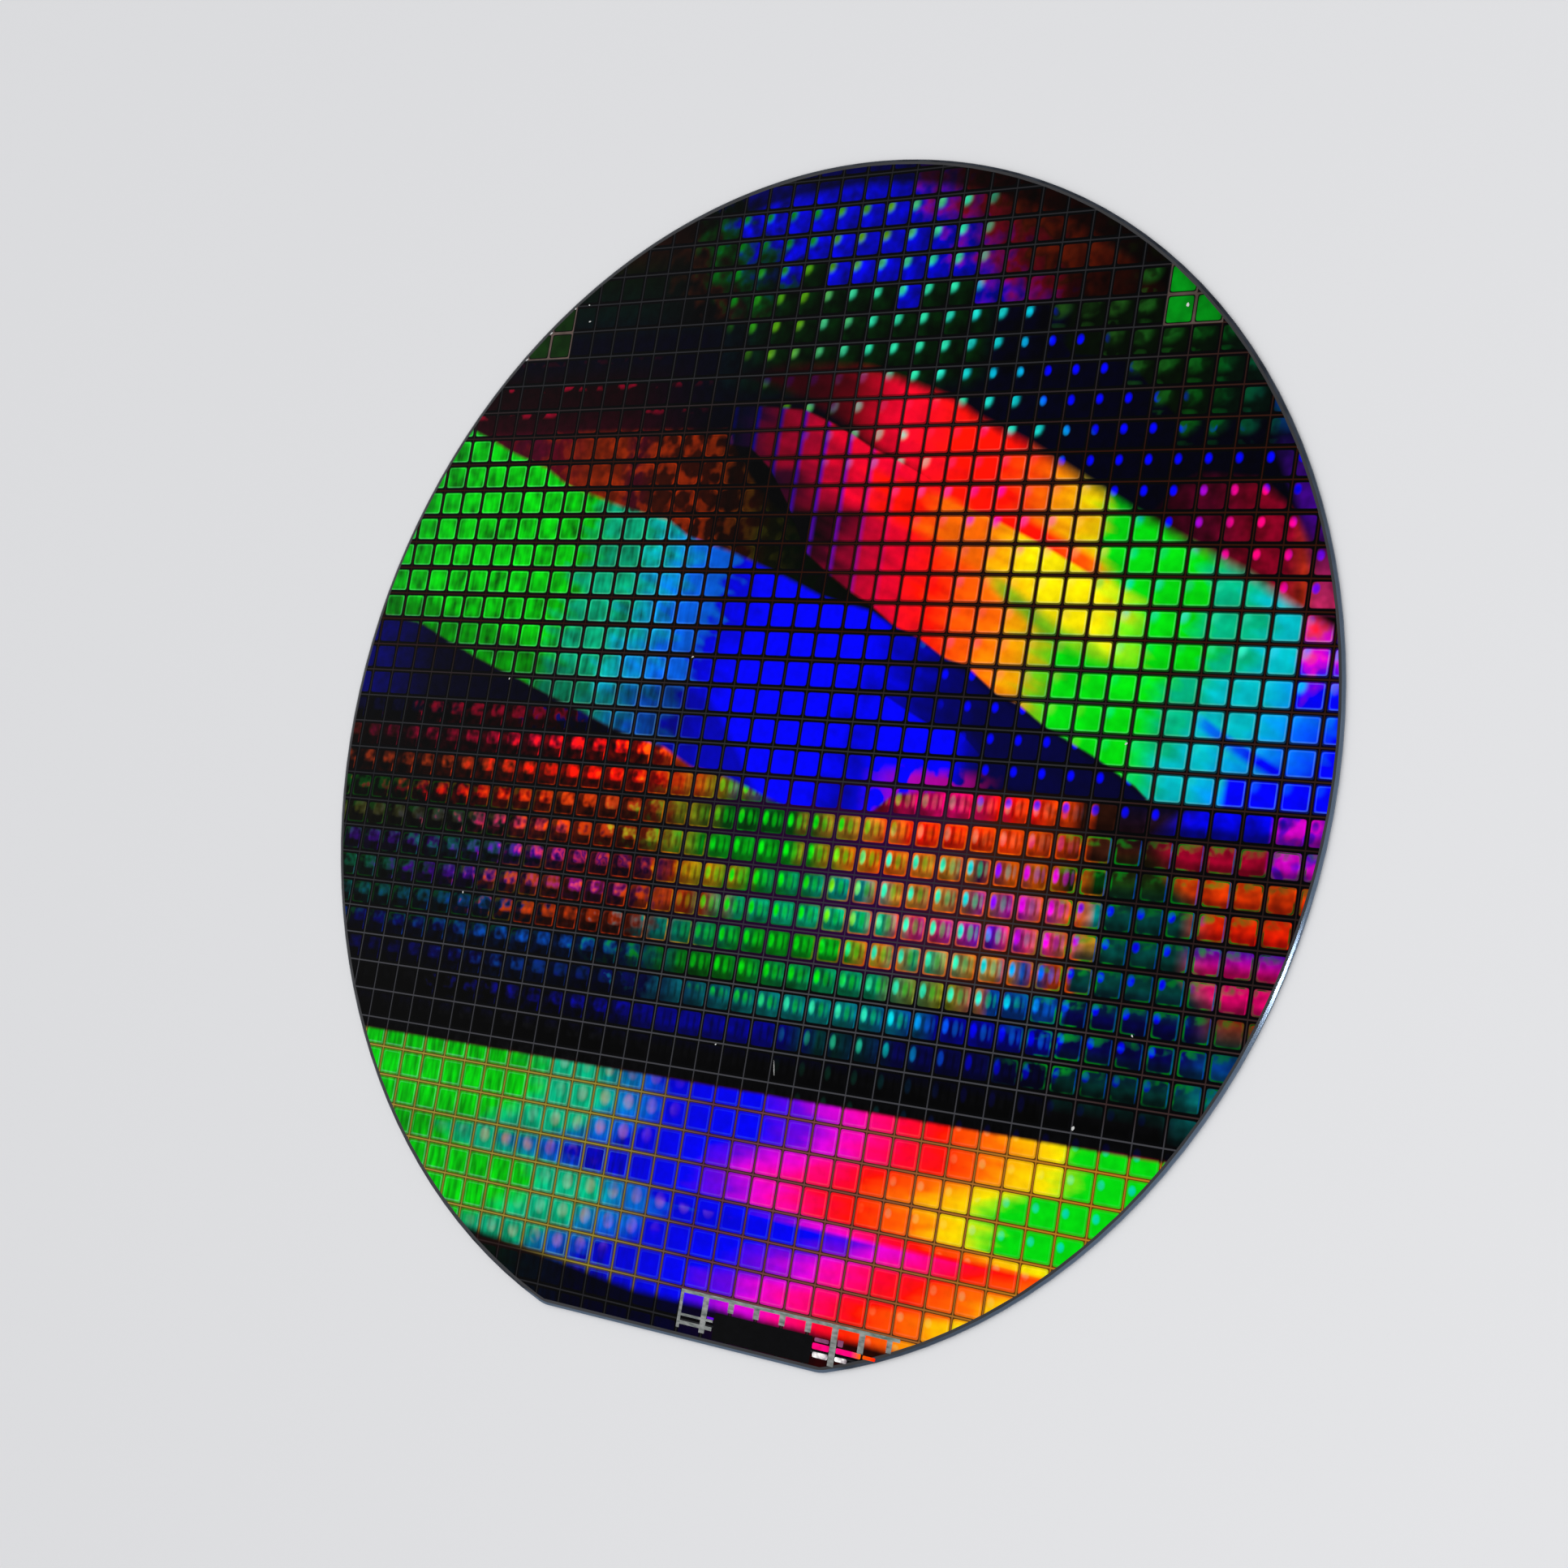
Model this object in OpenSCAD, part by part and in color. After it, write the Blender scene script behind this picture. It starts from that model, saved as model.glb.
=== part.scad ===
// Silicon wafer: a round slice of single-crystal silicon with a primary flat
// and a bevelled, rounded edge. All sizes are in millimetres.
//
// The slice lies on its back. The origin is the centre of the round outline on
// the back face, +Z points out of the polished device face, and the flat
// faces -Y. The layers that carry the circuits are grown in and on the slice
// and are thinner than a hair, so they are part of the same solid.

/* [Slice] */
// Diameter of the round outline
wafer_d = 200; // [100:1:300]
// Thickness between the device face and the back face
wafer_t = 0.725; // [0.6:0.005:1.2]

/* [Primary flat] */
// Length of the flat, as a chord of the round outline
flat_length = 57.5; // [20:0.5:80]
// Radius to which each end of the flat is rounded into the rim
flat_end_r = 8; // [3:0.5:20]
// Narrow flats that are ground one after the other to round each end
flat_end_steps = 5; // [1:1:8]

/* [Edge profile] */
// Slope of the two bevels against the faces, in degrees
bevel_angle = 22; // [15:1:35]
// Height of the upright land at mid-thickness
land_h = 0.16; // [0.08:0.01:0.24]
// Radius that blends the land into each bevel
blend_r = 0.15; // [0.06:0.01:0.18]

/* [Hidden] */
$fn = 360;
rim_r = wafer_d / 2;
// Steps in which each blend arc of the section turns
blend_steps = 5;

// Distance of the flat from the centre of the round outline
flat_y = sqrt(pow(rim_r, 2) - pow(flat_length / 2, 2));

// Centre of the arc at an end of the flat. The arc touches the flat, and it
// touches the round outline from inside
end_y = flat_y - flat_end_r;
end_x = sqrt(pow(rim_r - flat_end_r, 2) - pow(end_y, 2));
// Angle through which that arc turns, from the flat to the round outline
end_turn = atan2(end_x, end_y);

// Height of the blend arc's centre above the back face
blend_z = (wafer_t - land_h) / 2;
// Where the blend arc meets the bevel, inwards from the rim and up from the
// back face
meet_in = blend_r * (1 - sin(bevel_angle));
meet_z = blend_z - blend_r * cos(bevel_angle);
// Width of the whole edge profile, from the rim to where the faces are flat
edge_w = meet_in + meet_z / tan(bevel_angle);

// Half of the edge's outline, from the back face up to the land, as points
// [distance, height] of a section whose rim is at distance reach
function lower_edge(reach) = concat(
    [[reach - edge_w, 0]],
    [for (i = [0:blend_steps])
        let (a = (bevel_angle - 90) * (1 - i / blend_steps))
        [reach - blend_r + blend_r * cos(a), blend_z + blend_r * sin(a)]]
);

// The other half, from the land up to the device face, as the mirror image of
// the first over mid-thickness
function upper_edge(reach) = [
    for (i = [blend_steps + 1:-1:0])
        let (p = lower_edge(reach)[i])
        [p[0], wafer_t - p[1]]
];

// Section of the slice across its edge, from distance inner out to reach
module edge_section(inner, reach) {
    polygon(concat([[inner, 0]], lower_edge(reach), upper_edge(reach), [[inner, wafer_t]]));
}

// The round slice before its flat is ground
module round_slice() {
    rotate_extrude()
        edge_section(0, rim_r);
}

// A wide slab, of which one side has the edge profile. That side lies at
// distance reach from the point [x, y], towards -Y if turn is 0 and else
// turned about that point by as many degrees
module straight_edge(x, y, reach, turn) {
    translate([x, y, 0])
        rotate([90, 0, turn - 90])
            translate([0, 0, -wafer_d])
                linear_extrude(height = 2 * wafer_d)
                    edge_section(-2 * wafer_d, reach);
}

// The flat, which trims the round slice
module flat_trim() {
    straight_edge(0, 0, flat_y, 0);
}

// The narrow flats that round one end. They touch the arc at even steps. side
// is 1 for the +X end and -1 for the -X end
module flat_end_trim(side) {
    intersection_for(step = [1:flat_end_steps])
        straight_edge(side * end_x, -end_y, flat_end_r,
                      side * end_turn * step / (flat_end_steps + 1));
}

module wafer() {
    color([0.30, 0.31, 0.34])
        intersection() {
            round_slice();
            flat_trim();
            flat_end_trim(1);
            flat_end_trim(-1);
        }
}

wafer();
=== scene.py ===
# %% [markdown]
# # A patterned silicon wafer
#
# The part is one thin disc of silicon with a short flat on its edge. The CAD model already holds the
# disc with its rounded edge, so nothing here changes that. This lesson adds what the eye sees: about
# 1300 chips in a grid on the front face, those cut off at the edge among them, the scribe lines between
# them, and the rainbow that the fine lines of the chips make out of plain light.

# %% Load the frame
import math

import bmesh
import bpy
from mathutils import Matrix, Vector


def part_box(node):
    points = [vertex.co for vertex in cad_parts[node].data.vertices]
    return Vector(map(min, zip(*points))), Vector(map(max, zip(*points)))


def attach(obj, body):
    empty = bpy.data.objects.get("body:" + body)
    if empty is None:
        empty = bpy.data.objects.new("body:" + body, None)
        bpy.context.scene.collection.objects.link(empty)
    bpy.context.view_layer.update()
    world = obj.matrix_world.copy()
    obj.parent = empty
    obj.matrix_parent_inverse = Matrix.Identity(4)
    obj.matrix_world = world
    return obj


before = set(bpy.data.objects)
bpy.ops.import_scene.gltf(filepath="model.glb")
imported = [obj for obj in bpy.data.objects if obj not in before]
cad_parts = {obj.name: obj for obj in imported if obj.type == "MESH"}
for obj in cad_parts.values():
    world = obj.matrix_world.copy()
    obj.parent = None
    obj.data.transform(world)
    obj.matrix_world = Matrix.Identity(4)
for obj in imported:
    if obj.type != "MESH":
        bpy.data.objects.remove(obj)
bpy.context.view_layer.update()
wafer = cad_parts["wafer"]

# %% [markdown]
# ## Sizes
#
# Everything is in metres and in the frame of the CAD model: the middle of the round outline is the
# origin, the back lies at zero height and the flat is towards -Y. The grid of chips isn't centred on
# the disc, as on many real wafers, so two offsets place it. A rim of bare silicon stays round it. Films
# on a real wafer are far thinner than a hair. Here they get about 20 micrometres, which is enough to
# catch light and adds less than a thirtieth to the thickness of the disc.

# %% The grid of chips
MM = 0.001
PITCH_X = 5.089 * MM
PITCH_Y = 4.882 * MM
GRID_X = 0.016
GRID_Y = 1.992
COLUMNS = range(-20, 20)
ROWS = range(-19, 22)
FACE_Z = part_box("wafer")[1][2]
FLAT_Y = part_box("wafer")[0][1]
BARE_RIM = 0.9 * MM
PRINTED_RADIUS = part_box("wafer")[1][0] - BARE_RIM
PRINTED_FLAT = FLAT_Y + BARE_RIM


def place_x(across):
    return (across - GRID_X) * PITCH_X


def place_y(down):
    return (GRID_Y - down) * PITCH_Y


print("face at", FACE_Z, "flat at", FLAT_Y, "printed out to", PRINTED_RADIUS)

# %% [markdown]
# ## Camera
#
# The camera looks down on the wafer from beside its right edge, about 39 degrees off straight down, and
# leans a little so that the flat sits at the bottom of the picture. A camera looks along its own -Z
# with +Y up, so its rotation is built from those two directions.

# %% Camera
camera_data = bpy.data.cameras.new("camera")
camera_data.lens = 59.3
camera = bpy.data.objects.new("camera", camera_data)
bpy.context.scene.collection.objects.link(camera)
camera_place = Vector((0.2598, -0.0529, 0.3274))
camera_target = Vector((0.0029, -0.0059, 0.0))
picture_up = Vector((-0.060, 0.980, 0.188))
backwards = (camera_place - camera_target).normalized()
rightwards = picture_up.cross(backwards).normalized()
upwards = backwards.cross(rightwards)
turn = Matrix((rightwards, upwards, backwards)).transposed()
camera.matrix_world = Matrix.Translation(camera_place) @ turn.to_4x4()
bpy.context.scene.camera = camera
print("camera", round(math.degrees(backwards.angle(Vector((0, 0, 1)))), 1), "degrees off straight down")

# %% [markdown]
# ## Floor and light
#
# A wafer is a mirror, so it looks like whatever is around it. The world is an even pale grey, and one
# wide soft lamp hangs overhead, so a colour on the wafer shows about as it is written. Two small lamps
# to the right give next to no light. Their reflections are the white glint on the edge: the tall one's
# in the rounded rim, and the other's, which hangs nearly overhead, in the narrow bevel inside the rim.

# %% Floor
bpy.ops.mesh.primitive_plane_add(size=6.0, location=(0, 0, -0.00003))
floor = bpy.context.object
floor.name = "floor"
floor_paint = bpy.data.materials.new("pale_floor")
floor_paint.use_nodes = True
floor_shader = floor_paint.node_tree.nodes["Principled BSDF"]
floor_shader.inputs["Base Color"].default_value = (0.78, 0.78, 0.79, 1)
floor_shader.inputs["Roughness"].default_value = 0.75
floor_shader.inputs["Specular IOR Level"].default_value = 0.15
floor.data.materials.append(floor_paint)

# %% World and lamps
world = bpy.data.worlds.new("even_room")
bpy.context.scene.world = world
world.use_nodes = True
world.node_tree.nodes["Background"].inputs["Color"].default_value = (0.97, 0.98, 1.0, 1)
world.node_tree.nodes["Background"].inputs["Strength"].default_value = 0.55
bpy.context.scene.view_settings.view_transform = "Standard"


def area_lamp(name, place, width, height, watts):
    """A rectangular lamp that faces the wafer."""
    data = bpy.data.lights.new(name, "AREA")
    data.shape = "RECTANGLE"
    data.size = width
    data.size_y = height
    data.energy = watts
    lamp = bpy.data.objects.new(name, data)
    lamp.location = place
    lamp.rotation_euler = (-Vector(place)).to_track_quat("-Z", "Y").to_euler()
    bpy.context.scene.collection.objects.link(lamp)
    return lamp


area_lamp("soft_overhead", (-0.55, 0.20, 1.0), 1.4, 1.4, 4.6)
area_lamp("edge_strip", (0.75, -0.32, 0.70), 0.10, 0.5, 3.4)
area_lamp("edge_spark", (0.380, -0.171, 1.0), 0.10, 0.02, 0.3)

# %% [markdown]
# ## Node helpers
#
# The colours of the chips are worked out by about a thousand shader nodes. Placing them by hand would
# be slow, so each kind of node gets a short helper that adds one and returns its output socket. A helper
# takes either a number or a socket, and `wire` tells the two apart. All of them add to `tree`, the
# node tree of the material in hand.

# %% Helpers for numbers
def start_material(name):
    """A new material with an empty Principled shader. Its node tree becomes the one in hand."""
    global tree
    material = bpy.data.materials.new(name)
    material.use_nodes = True
    tree = material.node_tree
    return material, tree.nodes["Principled BSDF"]


def wire(value, socket):
    if isinstance(value, bpy.types.NodeSocket):
        tree.links.new(value, socket)
    else:
        socket.default_value = value


def calc(operation, a, b=0.0, c=0.0):
    """One Math node."""
    node = tree.nodes.new("ShaderNodeMath")
    node.operation = operation
    for value, socket in zip((a, b, c), node.inputs):
        wire(value, socket)
    return node.outputs[0]


def plus(a, b):
    return calc("ADD", a, b)


def minus(a, b):
    return calc("SUBTRACT", a, b)


def scaled(value, by, lift):
    """The value times one number plus another, in one Math node."""
    return calc("MULTIPLY_ADD", value, by, lift)


def swayed(base, texture, amount):
    """A base moved up or down by a texture, which is 0.5 where it leaves the base alone."""
    return scaled(minus(texture, 0.5), amount, base)


def times(*parts):
    """The product of masks or numbers: where all of them hold."""
    product = parts[0]
    for part in parts[1:]:
        product = calc("MULTIPLY", product, part)
    return product


def either(*parts):
    """The largest of some masks: where any of them holds."""
    largest = parts[0]
    for part in parts[1:]:
        largest = calc("MAXIMUM", largest, part)
    return largest


def outside(mask):
    """1 where the mask is 0."""
    return minus(1.0, mask)


def soft_step(value, start, end):
    """0 at start, 1 at end, with a smooth slope between. Start may be the larger."""
    node = tree.nodes.new("ShaderNodeMapRange")
    node.interpolation_type = "SMOOTHSTEP"
    node.clamp = False
    wire(value, node.inputs["Value"])
    node.inputs["From Min"].default_value = start
    node.inputs["From Max"].default_value = end
    return node.outputs[0]


def share(value, low, high):
    """The value as a share of the way from low to high."""
    return scaled(value, 1.0 / (high - low), -low / (high - low))


def graph(value, points):
    """A line drawn through points: a Float Curve node, with its ranges fitted to the points."""
    first, last = points[0][0], points[-1][0]
    low = min(y for x, y in points)
    high = max(y for x, y in points) + 1e-6
    node = tree.nodes.new("ShaderNodeFloatCurve")
    node.mapping.extend = "HORIZONTAL"
    line = node.mapping.curves[0]
    for count, (x, y) in enumerate(points):
        at = ((x - first) / (last - first), (y - low) / (high - low))
        if count in (0, len(points) - 1):
            line.points[0 if count == 0 else -1].location = at
        else:
            line.points.new(*at)
    for point in line.points:
        point.handle_type = "VECTOR"
    node.mapping.update()
    wire(share(value, first, last), node.inputs["Value"])
    return scaled(node.outputs[0], high - low, low)


# %% Helpers for colours
def written(name, strength=1.0):
    """A palette colour as the linear light that a shader works with."""
    steps = [part / 255 for part in PALETTE[name]]
    light = [s / 12.92 if s <= 0.04045 else ((s + 0.055) / 1.055) ** 2.4 for s in steps]
    return tuple(part * strength for part in light) + (1.0,)


def colours(value, runs):
    """A colour ramp. Each run is a place along the value, a palette name and perhaps a strength."""
    first, last = runs[0][0], runs[-1][0]
    node = tree.nodes.new("ShaderNodeValToRGB")
    stops = node.color_ramp.elements
    while len(stops) < len(runs):
        stops.new(1.0)
    for stop, run in zip(stops, runs):
        stop.position = (run[0] - first) / (last - first)
    for stop, run in zip(stops, runs):
        stop.color = written(*run[1:])
    wire(share(value, first, last), node.inputs[0])
    return node.outputs[0]


def over(under, colour, mask):
    """Paints one colour over another where the mask is 1."""
    node = tree.nodes.new("ShaderNodeMix")
    node.data_type = "RGBA"
    wire(mask, node.inputs[0])
    wire(under, node.inputs[6])
    wire(colour, node.inputs[7])
    return node.outputs[2]


def dim(colour, amount):
    """The colour times a number, as a mix with black that may go past the colour."""
    node = tree.nodes.new("ShaderNodeMix")
    node.data_type = "RGBA"
    node.clamp_factor = False
    wire(amount, node.inputs[0])
    node.inputs[6].default_value = (0, 0, 0, 1)
    wire(colour, node.inputs[7])
    return node.outputs[2]


def noise(x, y, scale, detail=1.0):
    """A cloudy pattern between 0 and 1."""
    pair = tree.nodes.new("ShaderNodeCombineXYZ")
    wire(x, pair.inputs[0])
    wire(y, pair.inputs[1])
    node = tree.nodes.new("ShaderNodeTexNoise")
    node.noise_dimensions = "2D"
    wire(pair.outputs[0], node.inputs["Vector"])
    node.inputs["Scale"].default_value = scale
    node.inputs["Detail"].default_value = detail
    return calc("MINIMUM", calc("MAXIMUM", share(node.outputs[0], 0.25, 0.75), 0.0), 1.0)


def random_cell(x, y, seed):
    """One random number for each whole pair of numbers."""
    pair = tree.nodes.new("ShaderNodeCombineXYZ")
    wire(x, pair.inputs[0])
    wire(y, pair.inputs[1])
    pair.inputs[2].default_value = seed
    node = tree.nodes.new("ShaderNodeTexWhiteNoise")
    wire(pair.outputs[0], node.inputs["Vector"])
    return node.outputs["Value"]


# %% [markdown]
# ## Where a point lies in the grid
#
# Object coordinates give a place in metres. Divided by the pitch, they count chips: `across` grows to
# the right and `down` towards the flat. The whole part names the chip, and what is left, `u` and `v`,
# runs from 0 to 1 over it.


# %% The painted rainbow of the chips starts with its coordinates
def object_place():
    """The x, y and z of a point, in metres."""
    place = tree.nodes.new("ShaderNodeTexCoord")
    apart = tree.nodes.new("ShaderNodeSeparateXYZ")
    tree.links.new(place.outputs["Object"], apart.inputs[0])
    return apart.outputs


def grid_place():
    """A point's place counted in chips, across and down."""
    x, y = object_place()[:2]
    return scaled(x, 1.0 / PITCH_X, GRID_X), scaled(y, -1.0 / PITCH_Y, GRID_Y)


# Painted reflection: the rainbow that the chips send back from the lamps is painted into their base colour,
# the same from every side.
chip_painted_rainbow, chip_shader = start_material("chip_painted_rainbow")
plain_across, plain_down = grid_place()

# %% [markdown]
# A film is never quite even over a whole wafer, so some noise tells one chip from the next. It is made
# here, before any mask, for the sake of Cycles. It works a material out in rounds, a node that waits
# for a noise comes a round later, and it keeps no more than 255 numbers at a time. Masks that are ready
# a round too early would fill that up, and the whole finish would turn black. So the place itself gets
# a trace of noise, a two-thousandth of a chip, and every mask waits until its colour needs it. A node's
# clamp is a round of its own too, so the helpers above get by without one.

# %% Texture from chip to chip
along_streak = scaled(plain_down, 0.3, times(plain_across, 0.18))
off_streak = scaled(plain_across, -0.42, plain_down)
streak = noise(along_streak, off_streak, 1.6, 1.5)
mottle = noise(plain_across, plain_down, 1.6, 1.5)
columns = noise(times(plain_across, 2.2), times(plain_down, 0.45), 2.2, 1.0)
chip_luck = random_cell(calc("FLOOR", plain_across), calc("FLOOR", plain_down), 1)
uneven = scaled(chip_luck, 0.35, plus(mottle, -0.175))
grit = noise(plain_across, plain_down, 2.8, 1.2)
TRACE = 0.0005
across = scaled(mottle, TRACE, plain_across)
down = scaled(mottle, TRACE, plain_down)
column = calc("FLOOR", across)
row = calc("FLOOR", down)
u = minus(across, column)
v = minus(down, row)
print("texture:", len(tree.nodes), "nodes")

# %% [markdown]
# Two shapes are drawn again and again: a block that sits at the same place on every chip, and a strip
# between two lines that cross the whole wafer. Each is a mask, 1 inside and 0 outside, made from the
# coordinates above, so it stays sharp however near the camera comes.


# %% Helpers for masks
def die_box(u_low, u_high, v_low, v_high, soft=0.05, power=8):
    """A block on every chip. A high power squares its corners, and 2 makes it an oval."""
    parts = []
    for value, low, high in ((u, u_low, u_high), (v, v_low, v_high)):
        centred = scaled(value, 2 / (high - low), -(high + low) / (high - low))
        parts.append(calc("POWER", calc("ABSOLUTE", centred), float(power)))
    reach = plus(parts[0], parts[1])
    return soft_step(reach, (1 + soft) ** power, (1 - soft) ** power)


def die_oval(u_middle, v_middle, half_u, half_v, soft=0.2):
    """The same as an oval, by its middle and its half widths."""
    return die_box(u_middle - half_u, u_middle + half_u, v_middle - half_v, v_middle + half_v, soft, 2)


def strip(top, low, soft):
    """1 between two lines drawn across the wafer, with soft edges."""
    under_top = soft_step(minus(down, graph(across, top)), -soft, soft)
    over_low = soft_step(minus(down, graph(across, low)), soft, -soft)
    return times(under_top, over_low)


# %% [markdown]
# ## Palette
#
# All colours of the part have a name here, as the red, green and blue that a screen shows. The chips
# carry no pigment: their lines are about as fine as light waves, so each block sends a pure rainbow
# colour one way and looks black from elsewhere. That is why the palette holds full colours and
# near-blacks, and few greys.

# %% Palette
PALETTE = {
    "black": (3, 3, 4), "soot": (16, 10, 12), "ink": (3, 3, 30), "navy": (2, 2, 62),
    "royal": (0, 0, 150), "blue": (0, 0, 240), "azure": (0, 100, 235), "sky": (0, 160, 235),
    "cyan": (0, 205, 215), "mint": (45, 225, 170), "ice": (150, 230, 200), "sea": (0, 170, 120),
    "teal": (0, 110, 110), "pine": (0, 55, 50), "moss": (14, 44, 8), "forest": (0, 80, 16),
    "leaf": (0, 140, 20), "green": (0, 210, 10), "lime": (130, 225, 20), "olive": (105, 105, 12),
    "yellow": (245, 225, 0), "amber": (255, 175, 0), "orange": (255, 105, 0), "ember": (225, 62, 0),
    "rust": (140, 42, 8), "umber": (52, 20, 8), "red": (255, 15, 0), "scarlet": (250, 0, 45),
    "crimson": (165, 0, 42), "wine": (70, 0, 26), "plum": (42, 0, 52), "violet": (105, 0, 215),
    "magenta": (230, 0, 215), "pink": (255, 0, 120), "rose": (225, 45, 110), "lilac": (180, 110, 215),
    "peach": (225, 150, 100), "gold": (215, 140, 35), "mauve": (110, 60, 90), "clay": (150, 85, 65),
    "slate": (58, 58, 62), "tan": (172, 152, 58), "mud": (88, 74, 68),
}
print(len(PALETTE), "colours")

# %% [markdown]
# ## The blocks of one chip
#
# Each chip on the wafer is the same design, so one set of masks serves them all. The array is the big
# rounded block that shines most. On it lie an oval spot at the left and two soft stripes beside it.
# Thin seal lines run along its right and lower sides.

# %% Masks of the blocks
array_block = die_box(0.075, 0.915, 0.1, 0.885, 0.04, 11)
whole_chip = die_box(0.045, 0.95, 0.055, 0.94, 0.02, 14)
spot = times(die_oval(0.2, 0.3, 0.09, 0.12, 0.75), array_block)
corner_spot = calc("POWER", die_oval(0.13, 0.18, 0.22, 0.26, 0.98), 6.0)
corner_spot = times(corner_spot, array_block)
tall_spot = die_oval(0.21, 0.4, 0.09, 0.18, 0.6)
patch = die_oval(0.56, 0.42, 0.07, 0.17, 0.9)
patch = either(patch, times(die_oval(0.78, 0.42, 0.04, 0.15, 0.9), 0.5))
dark_slit = either(die_oval(0.4, 0.4, 0.05, 0.2, 0.9), die_oval(0.68, 0.42, 0.04, 0.18, 0.9))
corner_glow = die_box(0.38, 0.87, 0.13, 0.52, 0.4, 4)
# Painted shade: each chip is brighter at its upper left and darker towards its lower right.
painted_chip_shade = scaled(u, -0.75, scaled(v, -0.45, 1.15))
inner_part = die_box(0.13, 0.86, 0.15, 0.84, 0.08)
outline = times(array_block, outside(inner_part))
seal_right = die_box(0.865, 0.905, 0.1, 0.9, 0.3, 6)
seal_lower = die_box(0.08, 0.905, 0.855, 0.895, 0.3, 6)
seal_line = either(seal_right, seal_lower)
inner_line = times(
    die_box(0.1, 0.895, 0.12, 0.865, 0.03, 12), outside(die_box(0.13, 0.865, 0.15, 0.835, 0.03, 12))
)
top_edge = times(soft_step(v, 0.085, 0.12), soft_step(v, 0.34, 0.14))
top_cloud = times(die_oval(0.28, 0.16, 0.34, 0.14, 0.95), array_block)
low_cloud = times(die_oval(0.24, 0.85, 0.22, 0.08, 0.95), array_block)
moss_glow = times(calc("POWER", die_oval(0.26, 0.2, 0.36, 0.3, 0.98), 3.0), array_block)
print("masks of the blocks:", len(tree.nodes), "nodes")

# %% [markdown]
# ## The dark ground
#
# Most of the upper part sends no light to the camera, so it starts nearly black: a warm black at the
# left edge, a hint of wine red below that, and navy towards the right. The lines between the colour
# fields run aslant, since the bands of light cross the wafer from upper left to lower right.

# %% Dark ground
ground_runs = [
    (-19, "soot", 0.6), (-16, "umber", 0.25), (-15, "moss", 0.12), (-13.6, "pine", 0.1),
    (-12.6, "ink", 0.3), (-10.5, "ink", 0.3), (-8, "black", 0.5), (22, "black", 0.5),
]
ground = colours(down, ground_runs)
wine_side = times(soft_step(across, -4.6, -9.5), soft_step(down, -12.0, -10.8))
wine_side = times(wine_side, soft_step(down, -7.5, -8.8))
ground = over(
    ground,
    colours(down, [(-12, "soot", 0.4), (-11, "wine", 0.06), (-10, "wine", 0.1), (-8, "wine", 0.4)]),
    wine_side,
)
glint_line = times(top_edge, soft_step(mottle, 0.5, 0.75), wine_side)
ground = over(ground, written("crimson", 0.7), times(glint_line, 0.7))

right_night = [
    (5, "ink", 0.2), (7, "navy", 0.12), (11, "navy", 0.1), (13, "ink", 0.25), (18, "ink", 0.2),
]
night_top = graph(
    across,
    [(5, -12.2), (8, -12.2), (9, -11.2), (11, -11), (12, -9.9), (13, -9), (16, -8.9), (20, -8.5)],
)
in_night = times(soft_step(minus(down, night_top), -0.1, 0.15), soft_step(down, -2.0, -3.0))
in_night = times(in_night, soft_step(across, 4.4, 5.6))
ground = over(ground, colours(across, right_night), in_night)
above_night = times(soft_step(minus(down, night_top), 0.1, -0.1), soft_step(across, 7.6, 8.4))
ground = over(
    ground, colours(across, [(8, "moss", 0.08), (13, "moss", 0.12), (18, "pine", 0.1)]), above_night
)
print("dark ground:", len(tree.nodes), "nodes")

# %% [markdown]
# ## The fan at the top
#
# At the top a fan of light runs through green, blue, violet and crimson to rust. Its runs of colour
# shift to the right from row to row, and each chip takes its place in the run a little early or late,
# which gives the checkered look. The odd chip drops out of the blue and stays dark green.

# %% Fan
fan_shift = graph(
    down,
    [(-19, -0.4), (-17.5, 0.0), (-16.5, 0.7), (-15.5, 1.8), (-14.5, 2.3), (-13.5, 3.4), (-12, 5.0)],
)
fan_place = minus(across, fan_shift)
fan_place = swayed(fan_place, uneven, 2.2)
fan_runs = [
    (-9.5, "black"), (-8.3, "umber", 0.4), (-7.6, "moss", 0.6), (-6.7, "forest", 0.4),
    (-6.0, "teal", 0.22), (-5.2, "royal", 0.8), (-4.0, "blue", 0.66), (1.7, "blue", 0.5),
    (2.5, "violet", 0.45), (3.3, "magenta", 0.14), (4.2, "crimson", 0.25), (5.3, "rust", 0.1),
    (6.4, "ember", 0.07), (7.8, "rust", 0.13), (8.6, "umber", 0.6), (9.4, "olive", 0.1),
    (11, "moss", 0.4),
]
fan = colours(fan_place, fan_runs)
# Painted shade darkens each chip of the fan towards its lower right.
fan = dim(fan, times(scaled(mottle, 1.0, 0.5), scaled(painted_chip_shade, 0.75, 0.45)))
in_fan = times(soft_step(down, -12.95, -13.1), soft_step(across, -9.5, -6.0))
from_middle = calc(
    "SQRT", plus(calc("POWER", across, 2.0), calc("POWER", scaled(down, 0.959, -1.9), 2.0))
)
fan = dim(fan, scaled(soft_step(from_middle, 18.6, 19.0), -0.9, 1.0))
last_fan_row = times(soft_step(down, -14.02, -13.98), soft_step(across, 7.9, 8.6))
fan = dim(fan, scaled(last_fan_row, -0.75, 1.0))
ground = over(ground, fan, in_fan)

below_fan = [
    (-8, "black"), (-4.5, "pine", 0.2), (-2.5, "forest", 0.14), (2.5, "forest", 0.18),
    (5.5, "forest", 0.18), (6.1, "navy", 0.15), (8.4, "navy", 0.15),
]
dropped_out = scaled(chip_luck, 2.6, plus(row, -1.0))
under_fan = times(soft_step(dropped_out, -14.1, -14.0), soft_step(across, 5.02, 4.98))
under_fan = either(under_fan, times(soft_step(down, -13.05, -12.95), soft_step(across, 8.9, 8.4)))
under_fan = times(under_fan, soft_step(down, -9.9, -10.9), soft_step(across, -6.0, -2.6))
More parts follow.
